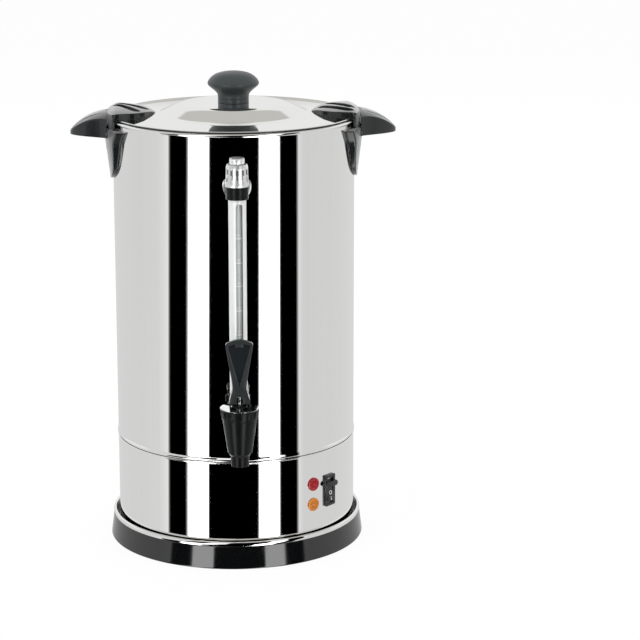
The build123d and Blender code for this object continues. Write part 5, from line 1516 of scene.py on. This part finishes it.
@dataclass
class Studio:
    """Pale floor, soft lamps, the cards that a polished shell mirrors, and the camera."""

    lens: float = 133.03
    place: tuple[float, float, float] = (-0.0559, -2.6703, 0.9042)
    tilt: float = 13.705
    pan: float = -3.31
    floor_size: float = 60.0
    # azimuth in degrees from the front towards +X, and sRGB grey from 0 to 255
    cards: tuple[tuple[float, int], ...] = (
        (-180, 216), (-140, 213), (-105, 211), (-80, 214), (-72, 224), (-68.3, 232), (-67.3, 0), (-48.1, 0),
        (-47.1, 255), (-26.7, 255), (-25.7, 0), (21.2, 0), (22.2, 255), (42.1, 255), (43.1, 0), (61.5, 0),
        (62.5, 226), (68, 210), (110, 211), (150, 217), (180, 216))
    # degrees that the cards lean per unit of a direction's height, from the height seen in the urn's middle
    lean: float = 21.2
    middle: float = -0.213
    # share by which they stand nearer together at the middle, and its growth per unit of height
    closing: float = 1.016
    closing_growth: float = 0.33
    # how much brighter than paper white the two white cards are
    glare: float = 3.8
    # what metal mirrors behind and above, and the light that falls on everything else
    wall_grey: str = "#eaeae9"
    ceiling_grey: str = "#c2c0bc"
    fill: tuple[float, float, float, float] = (0.82, 0.82, 0.82, 1.0)
    # share of the floor that glows white instead of taking shadow
    floor_glow: float = 0.93

    def camera(self) -> None:
        """Sets the camera."""
        data = bpy.data.cameras.new("camera")
        data.lens = self.lens
        data.sensor_width = 36.0
        view = bpy.data.objects.new("camera", data)
        view.location = self.place
        view.rotation_euler = (math.radians(90 - self.tilt), 0.0, math.radians(self.pan))
        bpy.context.scene.collection.objects.link(view)
        bpy.context.scene.camera = view

    def world(self) -> None:
        """Even white for what the camera and glass see, cards by direction for what metal mirrors."""
        world = bpy.data.worlds.new("studio")
        bpy.context.scene.world = world
        nodes = Nodes(world)
        way = nodes.add("SeparateXYZ", inputs={0: nodes.add("TexCoord").outputs["Generated"]}).outputs
        azimuth = nodes.maths("ARCTAN2", way["X"], nodes.maths("MULTIPLY", way["Y"], -1.0))
        lift = nodes.maths("SUBTRACT", way["Z"], self.middle)
        upright = nodes.maths("MULTIPLY_ADD", lift, -math.radians(self.lean), azimuth)
        closer = nodes.maths("MULTIPLY_ADD", lift, self.closing_growth, self.closing)
        turn = nodes.remap(nodes.maths("MULTIPLY", upright, closer), -math.pi, math.pi)
        ramp = nodes.add("ValToRGB", inputs={0: turn})
        stops = ramp.color_ramp.elements
        while len(stops) > 1:
            stops.remove(stops[-1])
        for number, (degrees, grey) in enumerate(self.cards):
            position = (degrees + 180) / 360
            stop = stops[0] if number == 0 else stops.new(position)
            stop.position = position
            stop.color = linear("#" + f"{grey:02x}" * 3)
        plain = ramp.outputs[0]
        lit = nodes.scaled(plain, nodes.remap(plain, 0.88, 1.0, 1.0, self.glare))

        def zone(axis: str, start: float, end: float) -> Socket:
            """Share that grows smoothly along a direction's part between two values."""
            return nodes.remap(way[axis], start, end, kind="SMOOTHSTEP")

        dusk = nodes.maths("MULTIPLY", zone("Y", -0.2, -0.5), zone("Z", 0.02, 0.14))
        cards = nodes.blend(dusk, lit, plain)
        rear = nodes.blend(zone("Y", 0.0, 0.25), cards, linear(self.wall_grey))
        behind = nodes.blend(zone("Z", 0.02, 0.12), cards, rear)
        mirrored = nodes.blend(zone("Z", 0.56, 0.62), behind, linear(self.ceiling_grey))
        glossy = nodes.add("LightPath").outputs["Is Glossy Ray"]
        soft = nodes.blend(glossy, self.fill, mirrored)
        shown = nodes.blend(nodes.seen_directly(), soft, WHITE)
        light = nodes.add("Background", inputs={"Color": shown, "Strength": 1.0})
        nodes.add("OutputWorld", inputs={"Surface": light.outputs[0]})

    def lamp(self, name: str, place: Sequence[float], size: float, watts: float) -> None:
        """Adds a soft lamp that looks at the urn's middle.

        Args:
            name: the lamp's name.
            place: where it stands, in metres.
            size: edge of its square face.
            watts: its power.
        """
        data = bpy.data.lights.new(name, "AREA")
        data.size = size
        data.energy = watts
        lamp = bpy.data.objects.new(name, data)
        lamp.location = place
        lamp.rotation_euler = (Vector((0.0, 0.0, 0.3)) - Vector(place)).to_track_quat("-Z", "Y").to_euler()
        lamp.visible_glossy = False
        bpy.context.scene.collection.objects.link(lamp)

    def floor(self) -> None:
        """Pale floor that shows white and keeps the urn's faint shadow."""
        Bench.lay_down()
        bpy.ops.mesh.primitive_plane_add(size=self.floor_size)
        floor = bpy.context.object
        floor.name = "floor"
        material = bpy.data.materials.new("Paper sweep, matt white")
        nodes = Nodes(material)
        paper = nodes.add("BsdfDiffuse", inputs={"Color": linear("#fafafa")}).outputs[0]
        glow = nodes.add("Emission", inputs={"Color": WHITE, "Strength": 1.0}).outputs[0]
        share = nodes.maths("MULTIPLY", nodes.seen_directly(), self.floor_glow)
        shown = nodes.add("MixShader", inputs={0: share, 1: paper, 2: glow}).outputs[0]
        nodes.add("OutputMaterial", inputs={"Surface": shown})
        floor.data.materials.append(material)
        floor.visible_glossy = False

    def build(self) -> None:
        """Sets the whole studio."""
        self.camera()
        self.world()
        self.lamp("left_softbox", (-2.2, -2.0, 2.2), 1.6, 34.0)
        self.lamp("right_softbox", (2.4, -1.6, 1.8), 1.6, 20.0)
        self.lamp("rear_softbox", (0.5, 2.4, 2.4), 1.8, 22.0)
        self.floor()
        bpy.context.scene.view_settings.view_transform = "Standard"


def dress_cad_nodes() -> None:
    """Gives every CAD node the finish of its slot."""
    for part in frame["record"]["subparts"]:
        piece = frame["nodes"][part["node"]]
        PAINT.coat(piece, Slots[part["material_slot"]].value)


def main() -> None:
    """Builds the studio and every sub-assembly in order."""
    logging.basicConfig(level=logging.INFO, format="%(name)s: %(message)s")
    Studio().build()
    dress_cad_nodes()
    for assembly in (Shells(), Lid(), SideHandles(), SightGauge(), DispensingTap(), SignalPanel()):
        assembly.build()
        log.info("%s done", type(assembly).__name__)
    Bench.lay_down()


if __name__ == "__main__":
    main()
